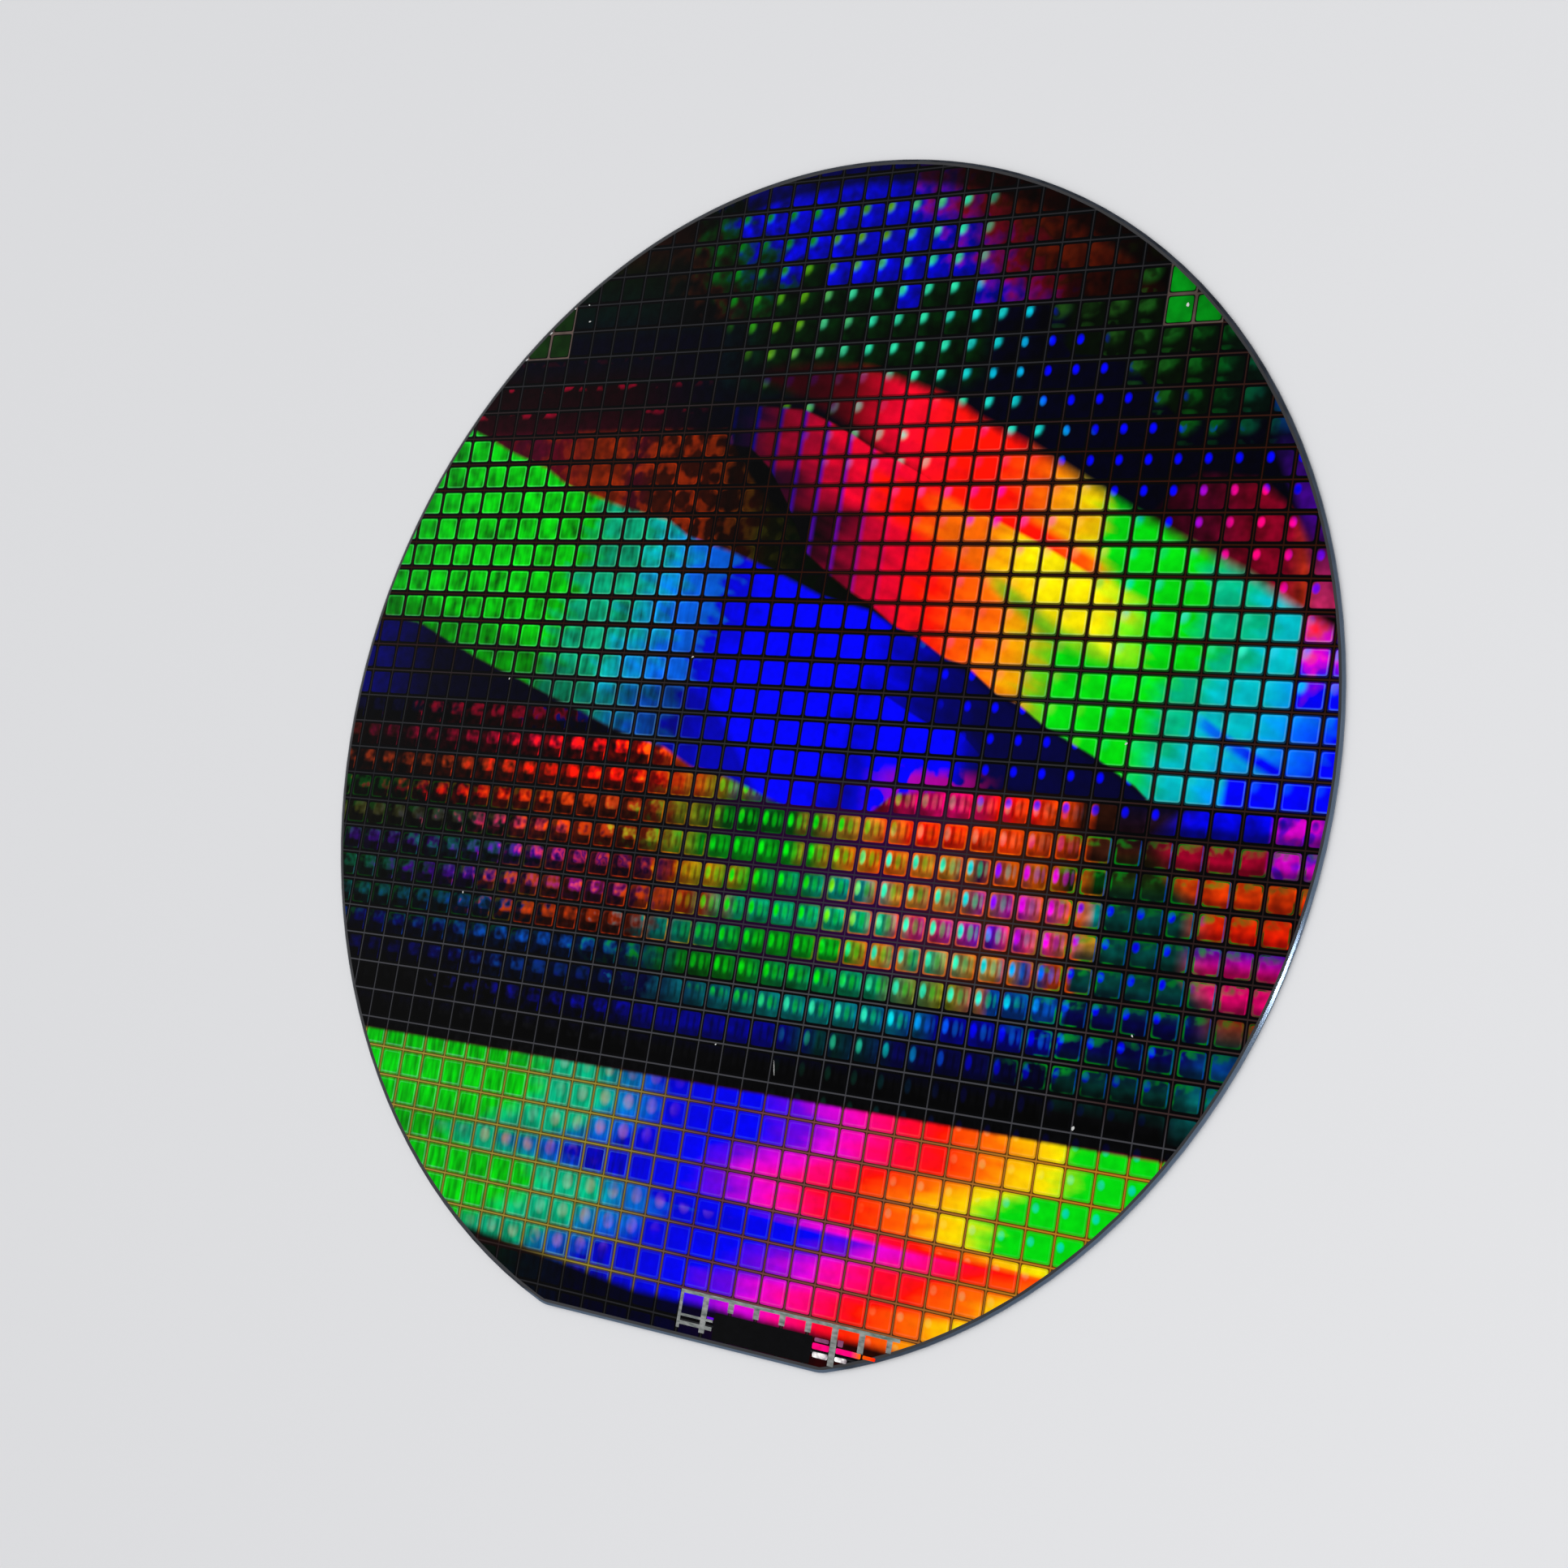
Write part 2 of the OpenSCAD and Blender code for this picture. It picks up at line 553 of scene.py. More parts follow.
# Painted shade darkens these chips towards their lower right.
under_light = times(painted_chip_shade, scaled(mottle, 1.3, 0.35))
ground = over(ground, dim(colours(across, below_fan), under_light), under_fan)
print("fan:", len(tree.nodes), "nodes")

# %% [markdown]
# ## The right edge
#
# A crimson field lies in the corner between the navy chips and the green of the big band, and along the
# rounded edge the colours run once more through the whole rainbow.

# %% Crimson corner and right rim
corner_runs = [
    (13, "wine", 0.2), (14.5, "wine", 0.9), (16, "crimson", 0.32), (17.2, "crimson", 0.55),
    (18, "ember", 0.4), (20, "violet", 0.5),
]
corner_top = graph(
    across, [(12, -5.2), (13.4, -6.8), (14, -7.1), (16, -6.9), (17, -6.1), (18, -5.0), (20, -3.5)]
)
corner = dim(colours(across, corner_runs), scaled(mottle, 1.0, 0.45))
ground = over(ground, corner, soft_step(minus(down, corner_top), -0.3, 0.25))
rim_runs = [
    (-9.5, "azure", 0.3), (-8.4, "ink"), (-6, "violet", 0.3), (-5, "plum"), (-3, "rose", 0.6),
    (-2, "violet", 0.8), (0, "azure", 0.8), (2, "blue", 0.7), (4, "magenta", 0.6),
]
rim_line = graph(
    down, [(-9.5, 16.1), (-8, 16.3), (-6, 17.4), (-4, 18.0), (-2, 18.0), (0, 18.3), (4, 19)]
)
on_rim = times(soft_step(minus(across, rim_line), -0.2, 0.3), soft_step(down, 0.3, 0))
ground = over(ground, colours(down, rim_runs), on_rim)
print("right edge:", len(tree.nodes), "nodes")

# %% [markdown]
# ## Chips that show only their outline
#
# Above the green band the chips are dark, and just their outlines and a few cells glow red and rust.

# %% Outlined chips
outlined_runs = [
    (-15, "wine", 0.5), (-12.5, "wine", 0.9), (-11.4, "crimson", 0.2), (-10, "ember", 0.18),
    (-8.6, "ember", 0.13), (-8, "wine", 0.6), (-7, "rust", 0.1), (-4.5, "rust", 0.06),
    (-3.6, "umber", 0.12), (-2.6, "rust", 0.04), (-1.6, "olive", 0.015), (-0.6, "moss", 0.08),
    (3, "moss", 0.04),
]
outline_runs = [
    (-14, "crimson", 0.2), (-10, "ember", 0.3), (-8, "ember", 0.4), (-5, "ember", 0.36),
    (-3.5, "orange", 0.1), (-2, "olive", 0.15), (-1, "olive", 0.06), (0, "black"),
]
outlined_top = [
    (-16, -9.1), (-9, -9.1), (-6, -9.05), (-4, -9.0), (-3.4, -8.0), (-2.5, -7.0), (-1.5, -6.2),
    (0, -5.4), (2, -4.2), (4, -3),
]
in_outlined = strip(outlined_top, [(-20, -2), (20, -2)], 0.2)
ground = over(ground, colours(across, outlined_runs), in_outlined)
spark = times(soft_step(mottle, 0.4, 0.8), either(outline, times(inner_part, 0.6)))
ground = over(ground, colours(across, outline_runs), times(in_outlined, spark))
print("outlined chips:", len(tree.nodes), "nodes")


# %% [markdown]
# ## The rainbow band
#
# The widest band holds the rainbow itself: crimson at its left end, then red, orange, yellow and green,
# and cyan at the right. Two lines along it part it into an upper, a middle and a lower stream, whose
# colours change at slightly different places. A dark wedge splits a shelf off its upper left.

# %% Outline of the rainbow band
band_top = [
    (-6, -9.9), (-3, -9.9), (-1, -9.7), (0, -9.3), (1, -8.85), (2, -8.3), (3, -7.9), (4, -7.42),
    (20, 0),
]
band_low = [
    (-6, -8.8), (-3, -8.4), (-2, -7.6), (-1, -6.3), (0, -4.7), (1, -4.0), (2, -3.4), (3, -2.9),
    (4, -2.25), (5, -1.85), (6, -1.25), (7, -0.95), (8.2, -0.1), (9, 0.15), (10, 0.8), (12, 1.72),
    (13.4, 2.5), (14, 3.0), (20, 3.0),
]
shelf_top = [
    (-3, -11.3), (0, -11.2), (1.5, -11.0), (3, -10.45), (5, -9.75), (6, -9.1), (8, -8.2), (10, -7.1),
    (12, -6), (14, -5), (16, -4.1), (18, -2.9), (20, -1.9),
]
shelf_low = [
    (-3, -10.8), (-1, -10.1), (0, -9.7), (1, -9.1), (2, -8.48), (3, -7.95), (4, -7.4), (4.7, -6.8),
    (20, 3),
]
left_end = soft_step(across, -4.6, -3.2)
main_band = times(strip(band_top, band_low, 0.08), left_end)
shelf = times(strip(shelf_top, shelf_low, 0.3), left_end)
in_band = either(main_band, shelf)
print("outline of the rainbow band:", len(tree.nodes), "nodes")

# %% Streams of the rainbow band
above_line = minus(
    graph(
        across, [(2, -7.6), (5.2, -6.5), (7, -5.9), (9, -5), (11, -4), (13, -3.1), (15, -2.2), (20, 0)]
    ),
    down,
)
below_line = minus(
    down, graph(across, [(2, -6.2), (5, -5.1), (7.3, -3.8), (9.9, -2.1), (12, -1.4), (20, 1.5)])
)
hue_place = swayed(across, streak, 0.7)
hue_place = swayed(hue_place, u, -0.35)
hue_place = swayed(hue_place, chip_luck, 0.6)
upper_runs = [
    (-4, "ink"), (-3, "plum", 0.5), (-1.8, "crimson", 0.35), (-0.3, "crimson", 0.8),
    (1, "scarlet", 0.7), (3, "scarlet", 0.95), (5.5, "red"), (7.4, "red"), (8.8, "orange", 0.8),
    (9.9, "amber", 0.9), (10.8, "yellow", 0.8), (11.4, "green"), (20, "green"),
]
middle_runs = [
    (-2, "ink"), (-0.6, "wine", 0.9), (0.4, "crimson", 0.75), (1.5, "scarlet", 0.85),
    (2.8, "red", 0.95), (4.4, "red"), (5.4, "orange", 0.8), (6.6, "orange"), (7.8, "amber"),
    (9, "yellow"), (11.6, "yellow"), (12.6, "lime"), (13.2, "green"), (20, "green"),
]
lower_runs = [
    (0, "black"), (1, "wine", 0.8), (2.2, "crimson", 0.9), (3.6, "scarlet", 0.8), (5.0, "red", 0.95),
    (6.2, "ember", 1.2), (7.6, "orange"), (8.8, "amber", 0.8), (9.5, "lime", 0.7), (10.2, "green"),
    (20, "green"),
]
rainbow = over(
    colours(hue_place, middle_runs), colours(hue_place, upper_runs), soft_step(above_line, -0.15, 0.25)
)
rainbow = over(rainbow, colours(hue_place, lower_runs), soft_step(below_line, -0.3, 0.3))

red_streak = times(soft_step(above_line, -0.12, 0.05), soft_step(above_line, 0.75, 0.3))
red_streak = times(red_streak, soft_step(across, 5.0, 6.5), soft_step(across, 12.0, 10.5))
rainbow = over(
    rainbow, colours(across, [(5, "red"), (9, "red"), (10, "ember", 1.3), (12, "orange")]), red_streak
)
green_streak = times(soft_step(below_line, -0.6, -0.1), soft_step(below_line, 0.5, 0.0))
green_streak = times(green_streak, soft_step(across, 6.8, 8.0), soft_step(across, 12.5, 11.0))
rainbow = over(
    rainbow, colours(across, [(6, "lime"), (9, "leaf"), (12, "lime")]), times(green_streak, 0.8)
)
print("streams:", len(tree.nodes), "nodes")

# %% The cool end of the rainbow band
cool_shift = [
    (-4, 0.6), (-3, 0.8), (-2, 0.5), (-1.1, 0.6), (-0.9, 1.6), (-0.1, 1.8), (0.1, 2.2), (0.9, 2.4),
    (1.1, 2.8), (3, 3.6),
]
cool_place = plus(across, graph(down, cool_shift))
cool_place = swayed(cool_place, streak, 0.8)
cool_place = swayed(cool_place, chip_luck, 0.6)
cool_runs = [
    (14, "green"), (15.2, "green"), (16.0, "sea"), (16.8, "sea", 1.1), (17.6, "cyan", 0.75),
    (18.6, "cyan", 0.75), (19.6, "sky", 0.9), (20.8, "azure"), (22, "blue"), (24, "blue"),
]
rainbow = over(rainbow, colours(cool_place, cool_runs), soft_step(across, 12.8, 14.2))
blue_line = minus(down, graph(across, [(13, -0.8), (15.2, 0.35), (16, 0.85), (18, 1.85), (20, 2.8)]))
blue_streak = times(soft_step(blue_line, -0.25, 0.0), soft_step(blue_line, 0.45, 0.1))
blue_streak = times(blue_streak, soft_step(across, 14.8, 15.6), soft_step(across, 18.4, 17.8))
rainbow = over(rainbow, colours(across, [(14, "azure"), (16, "azure"), (17, "blue")]), blue_streak)

rainbow = over(
    rainbow, written("blue"), times(soft_step(down, 1.98, 2.02), soft_step(across, 16.1, 16.4))
)
last_runs = [
    (-4, "ember"), (-3.2, "red"), (-2.6, "rose"), (-2, "magenta", 0.8), (-1.4, "violet"),
    (-0.6, "blue"),
]
last_column = times(soft_step(across, 17.85, 18.05), soft_step(down, 0.02, -0.02))
rainbow = over(rainbow, colours(scaled(mottle, 1.5, plus(down, -0.75)), last_runs), last_column)

rainbow = dim(rainbow, scaled(streak, 0.3, 0.82))
# Painted shade: each chip of the band is a little darker towards its lower right.
painted_band_shade = scaled(u, -0.12, scaled(v, -0.14, 1.13))
rainbow = dim(rainbow, painted_band_shade)
faint_shelf = scaled(soft_step(across, 0.3, 3.6), 0.88, 0.12)
rainbow = dim(rainbow, either(main_band, faint_shelf))
left_tint = times(soft_step(u, 0.3, 0.05), soft_step(across, 4.0, 0.5), main_band)
rainbow = over(
    rainbow, colours(across, [(-2, "royal", 0.5), (0.5, "violet", 0.5), (3, "magenta", 0.4)]), left_tint
)
body = over(ground, rainbow, in_band)
print("rainbow band:", len(tree.nodes), "nodes")

# %% [markdown]
# ## The band from green to blue
#
# The second band starts green at the left edge, turns through teal and azure and stays pure blue across
# the middle. In its green part each chip is mottled within a brighter outline. Its blue part is even.

# %% Outline and colours of the green and blue band
sweep_top = [
    (-20, -10.8), (-15.2, -9), (-14, -8.45), (-12, -7.75), (-11, -7.15), (-8, -6.25), (-6, -5.8),
    (-5, -5.2), (-3, -4.65), (-1, -3.95), (1, -3.15), (3, -2.7), (4, -2.15), (5, -1.8), (6, -1.2),
    (8.2, -0.05), (20, 6),
]
sweep_low = [
    (-20, -2.3), (-17, -1.85), (-15.5, -1.2), (-14, -0.65), (-12, 0.0), (-10.5, 0.55), (-9, 1.0),
    (-7, 1.7), (-6, 1.95), (-4.5, 2.3), (-3.2, 2.9), (-2, 3.05), (-1.2, 3.3), (0, 3.7), (1, 4.0),
    (4.2, 4.0), (5, 3.3), (8, 2.95), (9, 2.8), (20, 3.5),
]
sweep = strip(sweep_top, sweep_low, 0.12)
sweep_place = scaled(plus(down, 3.0), 0.3, across)
sweep_place = swayed(sweep_place, streak, 1.3)
sweep_place = swayed(sweep_place, mottle, 0.6)
sweep_runs = [
    (-20, "leaf"), (-16, "green", 0.8), (-12, "green", 0.85), (-10.4, "green", 0.65),
    (-9.2, "sea", 0.75), (-7.6, "sea", 0.8), (-6.6, "cyan", 0.55), (-5.6, "sky", 0.6),
    (-4.6, "azure", 0.8), (-3.4, "azure", 0.6), (-2.8, "blue", 0.62), (-1.2, "blue"), (3.6, "blue"),
    (5.0, "blue", 0.5), (6.5, "royal", 0.5), (9, "navy"), (16, "ink"),
]
sweep_hue = colours(sweep_place, sweep_runs)
shade_line = graph(
    across, [(-20, -3.2), (-14, -2.2), (-8, 0.2), (-5, -0.2), (-3, 0.3), (-2, 1.4), (0, 4), (20, 6)]
)
shaded = soft_step(minus(down, shade_line), -0.2, 0.4)
sweep_hue = dim(sweep_hue, scaled(shaded, -0.55, 1.0))
mottled = soft_step(across, -2.6, -6.0)
cell_light = scaled(mottle, 0.8, scaled(columns, 0.5, -0.95))
cell_light = scaled(outline, 0.4, scaled(chip_luck, 0.3, cell_light))
sweep_hue = dim(sweep_hue, scaled(mottled, cell_light, 1.0))
print("green and blue band:", len(tree.nodes), "nodes")

# %% Where the blue fades out at the right
wedge = minus(
    graph(across, [(3.9, 0.0), (5, 0.55), (6, 1.0), (7, 1.08), (8, 1.9), (8.5, 2.0), (20, 4)]), down
)
lower_blue = times(soft_step(wedge, 0.06, -0.06), soft_step(across, 3.2, 4.2))
lower_blue = times(lower_blue, soft_step(scaled(down, 0.3, across), 8.9, 7.6))
sweep_hue = over(
    sweep_hue, colours(across, [(3.5, "blue"), (6.8, "blue"), (7.5, "royal"), (20, "navy")]), lower_blue
)
blush = times(soft_step(down, 2.25, 2.75), soft_step(across, 3.5, 5.5))
blush = times(blush, soft_step(across, 9.0, 7.0), soft_step(mottle, 0.3, 0.6))
sweep_hue = over(
    sweep_hue, colours(across, [(3, "violet"), (6, "magenta", 0.5), (9, "crimson", 0.6)]), blush
)
night_runs = [(4, "navy", 1.6), (7, "navy", 0.9), (8, "navy", 0.4), (12, "ink"), (20, "ink", 0.7)]
in_low_night = times(soft_step(down, -2.2, -1.8), soft_step(down, 4.05, 3.9))
in_low_night = times(in_low_night, soft_step(across, 3.8, 4.6))
body = over(body, colours(across, night_runs), times(in_low_night, outside(in_band)))
body = over(body, sweep_hue, sweep)
under_sweep = minus(
    down, graph(across, [(-20, -2.3), (-17, -1.85), (-14, -0.65), (-12, 0.0), (-9, 1.0), (20, 20)])
)
left_navy = times(soft_step(under_sweep, -0.05, 0.1), soft_step(down, 1.02, 0.98))
body = over(
    body,
    colours(across, [(-20, "royal", 0.4), (-17.5, "navy", 0.8), (-16, "ink", 0.6), (-12, "ink", 0.4)]),
    left_navy,
)
print("both bands:", len(tree.nodes), "nodes")


# %% [markdown]
# ## The rows below the bands
#
# Below the two bands each row of chips leans to the lamps at its own angle and carries its own run of
# the rainbow, so hues change from row to row more than along one. A run is a few colour names with
# their places across the wafer. Only part of each chip lights up: at the left a glow in its upper right
# corner, in the middle the spot and the patch, and at the right just soft patches at its rims.

# %% Runs of the lower rows
ROW_LIGHT = {
    1: [
        (-20, "navy", 0.6), (-16, "ink"), (-13, "crimson", 0.4), (-10, "crimson", 0.35), (-8.4, "navy"),
    ],
    2: [(-20, "rust", 0.3), (-17, "wine"), (-11, "crimson", 0.6), (-5.5, "red", 0.65), (-3.6, "ember")],
    3: [
        (-20, "umber"), (-14, "rust"), (-8, "red", 0.55), (-5.5, "red", 0.6), (-3.6, "ember", 0.6),
        (-1.6, "olive"), (1.0, "royal"), (4.4, "crimson", 0.6), (7.4, "pink", 0.7), (9.4, "red", 0.9),
        (11, "ember"), (12.2, "umber", 0.5),
    ],
    4: [
        (-17.3, "forest", 0.8), (-15.4, "crimson", 0.4), (-12.8, "red", 0.5), (-8, "ember", 0.65),
        (-5, "rust"), (-3, "olive", 0.8), (-1, "forest", 0.8), (1.4, "forest"), (4.2, "gold", 0.75),
        (6.2, "red", 0.9), (10, "ember"), (12.2, "umber"),
    ],
    5: [
        (-20, "olive", 0.5), (-13, "slate", 0.6), (-11, "rose", 0.4), (-7.5, "ember", 0.7),
        (-5.6, "rust"), (-3.6, "olive", 1.2), (-2.2, "leaf", 0.8), (1.6, "leaf"), (4.4, "orange", 0.7),
        (7.6, "gold", 0.8), (8.7, "plum", 1.6), (10.2, "orange", 0.6), (12.2, "forest", 0.3),
    ],
    6: [
        (-15, "violet", 0.25), (-13, "teal", 0.5), (-10, "violet", 0.4), (-7.5, "rose", 0.5),
        (-5.8, "plum", 1.8), (-3.5, "ember", 0.35), (-2.2, "amber", 0.4), (0.2, "leaf", 0.9),
        (4.6, "teal", 1.4), (6, "gold", 0.75), (8.4, "clay"), (10, "magenta", 0.5),
        (11.8, "orange", 0.8), (12.9, "teal"),
    ],
    7: [
        (-17.5, "sea", 0.3), (-14.5, "violet", 0.25), (-12, "violet", 0.3), (-9.5, "rust", 1.3),
        (-6.5, "magenta", 0.2), (-4, "rust", 1.3), (-2, "ember", 0.3), (0, "sea", 0.6),
        (5.2, "sea", 0.9), (6.6, "rose", 0.8), (9.6, "violet", 0.6), (10.8, "rose"),
        (12.4, "amber", 0.45),
    ],
    8: [
        (-17, "teal", 0.5), (-11, "azure", 0.18), (-9, "rust", 0.9), (-6, "ember", 0.3),
        (-3.5, "teal", 0.6), (0.6, "leaf", 0.8), (4.2, "leaf", 1.2), (5.8, "gold", 0.75),
        (7.2, "sea", 0.7), (9.5, "gold", 0.75), (10.4, "azure", 0.35), (11.3, "rust", 1.2),
    ],
    9: [
        (-15.6, "royal", 0.45), (-12, "azure", 0.16), (-6, "azure", 0.22), (-4, "teal", 0.4),
        (-2.6, "forest"), (0, "leaf", 0.6), (5, "sea", 0.5), (8, "olive", 1.3), (9.5, "clay"),
        (10.1, "azure", 0.3),
    ],
    10: [
        (-12, "navy"), (-9, "azure", 0.13), (-4, "navy"), (0.8, "teal", 0.7), (4.6, "teal"),
        (8, "royal", 0.7),
    ],
    11: [
        (-12, "black"), (0, "royal", 0.6), (2.4, "royal", 0.5), (4, "pine", 0.6), (7, "navy"),
        (13, "ink", 0.6),
    ],
}
row_place = swayed(across, u, 1.2)
row_place = swayed(row_place, chip_luck, 0.9)
left_blend = times(minus(grit, 0.5), soft_step(across, -2.5, -5.5), 4.5)
row_place = plus(row_place, left_blend)
row_light = colours(down, [(11.9, "ink", 0.6), (12.4, "black"), (13, "black")])
for chip_row, runs in ROW_LIGHT.items():
    row_light = over(row_light, colours(row_place, runs), calc("COMPARE", row, float(chip_row), 0.1))
print(len(ROW_LIGHT), "rows of light:", len(tree.nodes), "nodes")

# %% [markdown]
# The right ends of these rows look alike in all of them, so two runs down the wafer serve there: one
# for the dark chips and one for the warm glow beside the rim.

# %% Right ends of the rows
dim_runs = [
    (3, "ink"), (4.5, "umber", 0.6), (5.5, "moss"), (6.5, "pine"), (8.5, "pine"), (9.5, "navy"),
    (10.5, "navy"), (11.5, "pine", 0.5), (12.5, "black"),
]
warm_runs = [
    (3.1, "blue", 0.8), (3.9, "royal"), (4.1, "crimson", 0.6), (4.9, "crimson", 0.8),
    (5.1, "ember", 0.7), (6.9, "red", 0.6), (7.1, "violet", 0.5), (7.8, "pink", 0.6),
    (8.9, "pink", 0.5), (9.1, "rust", 0.8), (9.9, "pine"), (10.5, "azure", 0.25), (11.5, "teal", 0.7),
    (13, "black"),
]
dark_end = times(soft_step(across, 12.1, 12.3), outside(soft_step(minus(down, 7.5), 0.6, -0.6)))
dark_end = either(dark_end, soft_step(across, 12.9, 13.1))
row_light = over(row_light, colours(down, dim_runs), dark_end)
warm_line = graph(
    down, [(3, 15.4), (4, 14.3), (5, 14.8), (6, 15.9), (8, 15.9), (9, 16.8), (10, 16.6), (12, 16.2)]
)
warm_end = soft_step(minus(across, warm_line), -0.5, 0.8)
row_light = over(row_light, colours(down, warm_runs), warm_end)
rim_glow = times(soft_step(across, 17.8, 18.2), soft_step(down, 5.0, 4.9))
row_light = over(row_light, colours(mottle, [(0.3, "violet", 0.8), (0.6, "magenta", 0.6)]), rim_glow)

# %% [markdown]
# The spots sit one step further along the rainbow than the chips around them. One run of colours does
# for all rows, moved across by a curve, and the upper rows end it in violet, the lower ones in blue.

# %% Spots of the rows
spot_shift = graph(
    down, [(3, 9.6), (4, 10.4), (5, 8.2), (7, 8.2), (8, 9.0), (9.5, 9.8), (10.2, 6.0), (12, 6.0)]
)
spot_place = minus(across, spot_shift)
upper_spot_runs = [
    (-13.5, "olive"), (-12, "lime", 0.7), (-10.4, "green"), (-6, "green"), (-4.6, "lime"),
    (-3.0, "mint", 1.1), (-0.8, "mint"), (0.2, "cyan"), (0.9, "violet", 1.2), (2.2, "magenta"),
    (3.4, "magenta"), (4.3, "blue"), (7, "blue"),
]
lower_spot_runs = [
    (-13.5, "leaf", 0.6), (-11, "green", 0.8), (-6, "green"), (-4, "mint", 0.8), (-1, "mint"),
    (0.2, "cyan"), (1.0, "sky"), (1.9, "azure"), (2.8, "blue"), (7, "blue"),
]
lower_rows = soft_step(down, 7.95, 8.05)
row_spot = over(colours(spot_place, upper_spot_runs), colours(spot_place, lower_spot_runs), lower_rows)
row_spot = dim(row_spot, scaled(soft_step(down, 10.0, 11.6), -0.65, 1.0))
spots_on = times(soft_step(across, -6.5, -3.5), soft_step(down, 2.98, 3.02))
spots_on = times(spots_on, soft_step(across, 16.4, 15.4))
spots_on = times(spots_on, soft_step(minus(across, times(soft_step(down, 9.9, 11.2), 5.0)), -3.5, -0.5))
hidden = times(soft_step(across, 11.9, 12.1), soft_step(down, 6.02, 5.98))
without_spots = times(soft_step(across, 2.5, 6.5), soft_step(down, 5.02, 4.98))
hidden = either(hidden, times(without_spots, 0.85))
hidden = either(hidden, times(soft_step(down, 11.95, 12.0), 0.95))
spots_on = times(spots_on, outside(hidden))

# %% Light inside the chips of the rows
at_left = soft_step(across, -2.5, -5.5)
left_light = times(scaled(corner_glow, 0.9, 0.1), scaled(grit, 1.6, 0.2))
left_light = times(left_light, scaled(soft_step(across, -16.5, -9.0), 0.65, 0.45))
left_light = times(left_light, scaled(soft_step(v, 0.7, 0.35), 0.6, 0.4))
upper_half = soft_step(v, 0.78, 0.5)
middle_light = scaled(upper_half, 0.6, 0.4)
middle_light = scaled(times(dark_slit, soft_step(across, 12.4, 11.6)), -0.5, middle_light)
middle_light = times(middle_light, scaled(mottle, 0.7, 0.65))
inner_light = plus(middle_light, times(at_left, minus(left_light, middle_light)))
chip_light = dim(row_light, inner_light)
patch_runs = [
    (-11, "green", 0.6), (-4, "green", 0.6), (-1.6, "leaf"), (0.6, "sea"), (1.6, "teal"),
    (3, "magenta", 0.5),
]
patch_hue = colours(spot_place, patch_runs)
patch_hue = over(patch_hue, written("azure", 0.5), times(lower_rows, soft_step(spot_place, 0.5, 1.5)))
before_end = soft_step(across, 12.4, 11.6)
lit_parts = times(spots_on, patch, before_end, soft_step(down, 11.02, 10.98), 0.65)
chip_light = over(chip_light, patch_hue, lit_parts)
row_spot_shape = scaled(before_end, minus(tall_spot, spot), spot)
chip_light = over(chip_light, row_spot, times(spots_on, row_spot_shape))
print("light inside the chips:", len(tree.nodes), "nodes")

# %% Frames and rims of the chips in the rows
frame_runs = [
    (-12.5, "rust", 0.3), (-8, "ember", 0.8), (-5, "ember", 0.7), (-3, "amber", 0.35),
    (-1.2, "leaf", 0.6), (2, "forest", 0.8), (3.4, "olive"), (4.6, "ember", 0.8), (8, "orange", 0.7),
    (12, "ember", 0.8), (12.9, "olive"), (13.4, "forest"),
]
framed = times(soft_step(down, 2.9, 3.1), soft_step(down, 8.95, 8.85))
framed = times(framed, soft_step(across, -12.5, -9.5), soft_step(across, 13.1, 12.9))
no_frame = times(soft_step(across, 1, 3), soft_step(down, 4.02, 3.98))
framed = times(framed, outside(no_frame))
full_frame = times(outline, scaled(soft_step(across, -2, 3), 0.45, 0.1))
seal_light = times(scaled(grit, 0.9, 0.1), scaled(at_left, -0.5, 1.0))
frame_line = either(full_frame, times(seal_line, seal_light))
chip_light = over(chip_light, colours(across, frame_runs), times(framed, frame_line))
faint_seal = times(outside(framed), seal_right, scaled(grit, 0.6, 0.05))
chip_light = over(chip_light, dim(row_light, 1.5), faint_seal)
rim_tint = [
    (-14, "leaf", 0.2), (-9, "leaf", 0.15), (-5, "black"), (9.5, "forest", 0.2), (12.3, "leaf", 0.9),
    (14, "forest"), (16.4, "leaf", 0.6), (18, "forest", 0.6),
]
rims_on = times(soft_step(down, 3.98, 4.02), soft_step(down, 11.95, 11.6))
at_right = soft_step(across, 9.5, 12.2)
left_rims = times(soft_step(across, -8, -10), 0.5, soft_step(down, 9.8, 9.2))
rims = times(outline, soft_step(mottle, 0.3, 0.7))
rims = either(rims, times(top_cloud, soft_step(grit, 0.3, 0.8), 0.7))
rims = times(rims, either(at_right, left_rims))
chip_light = over(chip_light, colours(across, rim_tint), times(rims_on, rims))
teal_seal = times(seal_right, soft_step(across, 12.2, 12.6), soft_step(across, 17.8, 17.0))
chip_light = over(chip_light, written("azure", 0.3), times(teal_seal, rims_on, 0.7))

in_rows = times(soft_step(down, 0.995, 1.005), soft_step(down, 13.4, 13.3))
above_rows = either(in_band, sweep)
above_rows = either(above_rows, left_navy)
above_rows = either(above_rows, times(in_low_night, soft_step(down, 3.02, 2.98)))
body = over(body, chip_light, times(in_rows, outside(above_rows)))
print("rows below the bands:", len(tree.nodes), "nodes")


# %% [markdown]
# ## The bright block above the flat
#
# The seven rows above the flat mirror the lamps directly and shine brightest. They run from green at
# the left through blue, violet, magenta and red to yellow, and end green again. One run of colours
# serves them all. Two curves pull it left or right from row to row, one for each half of the wafer.

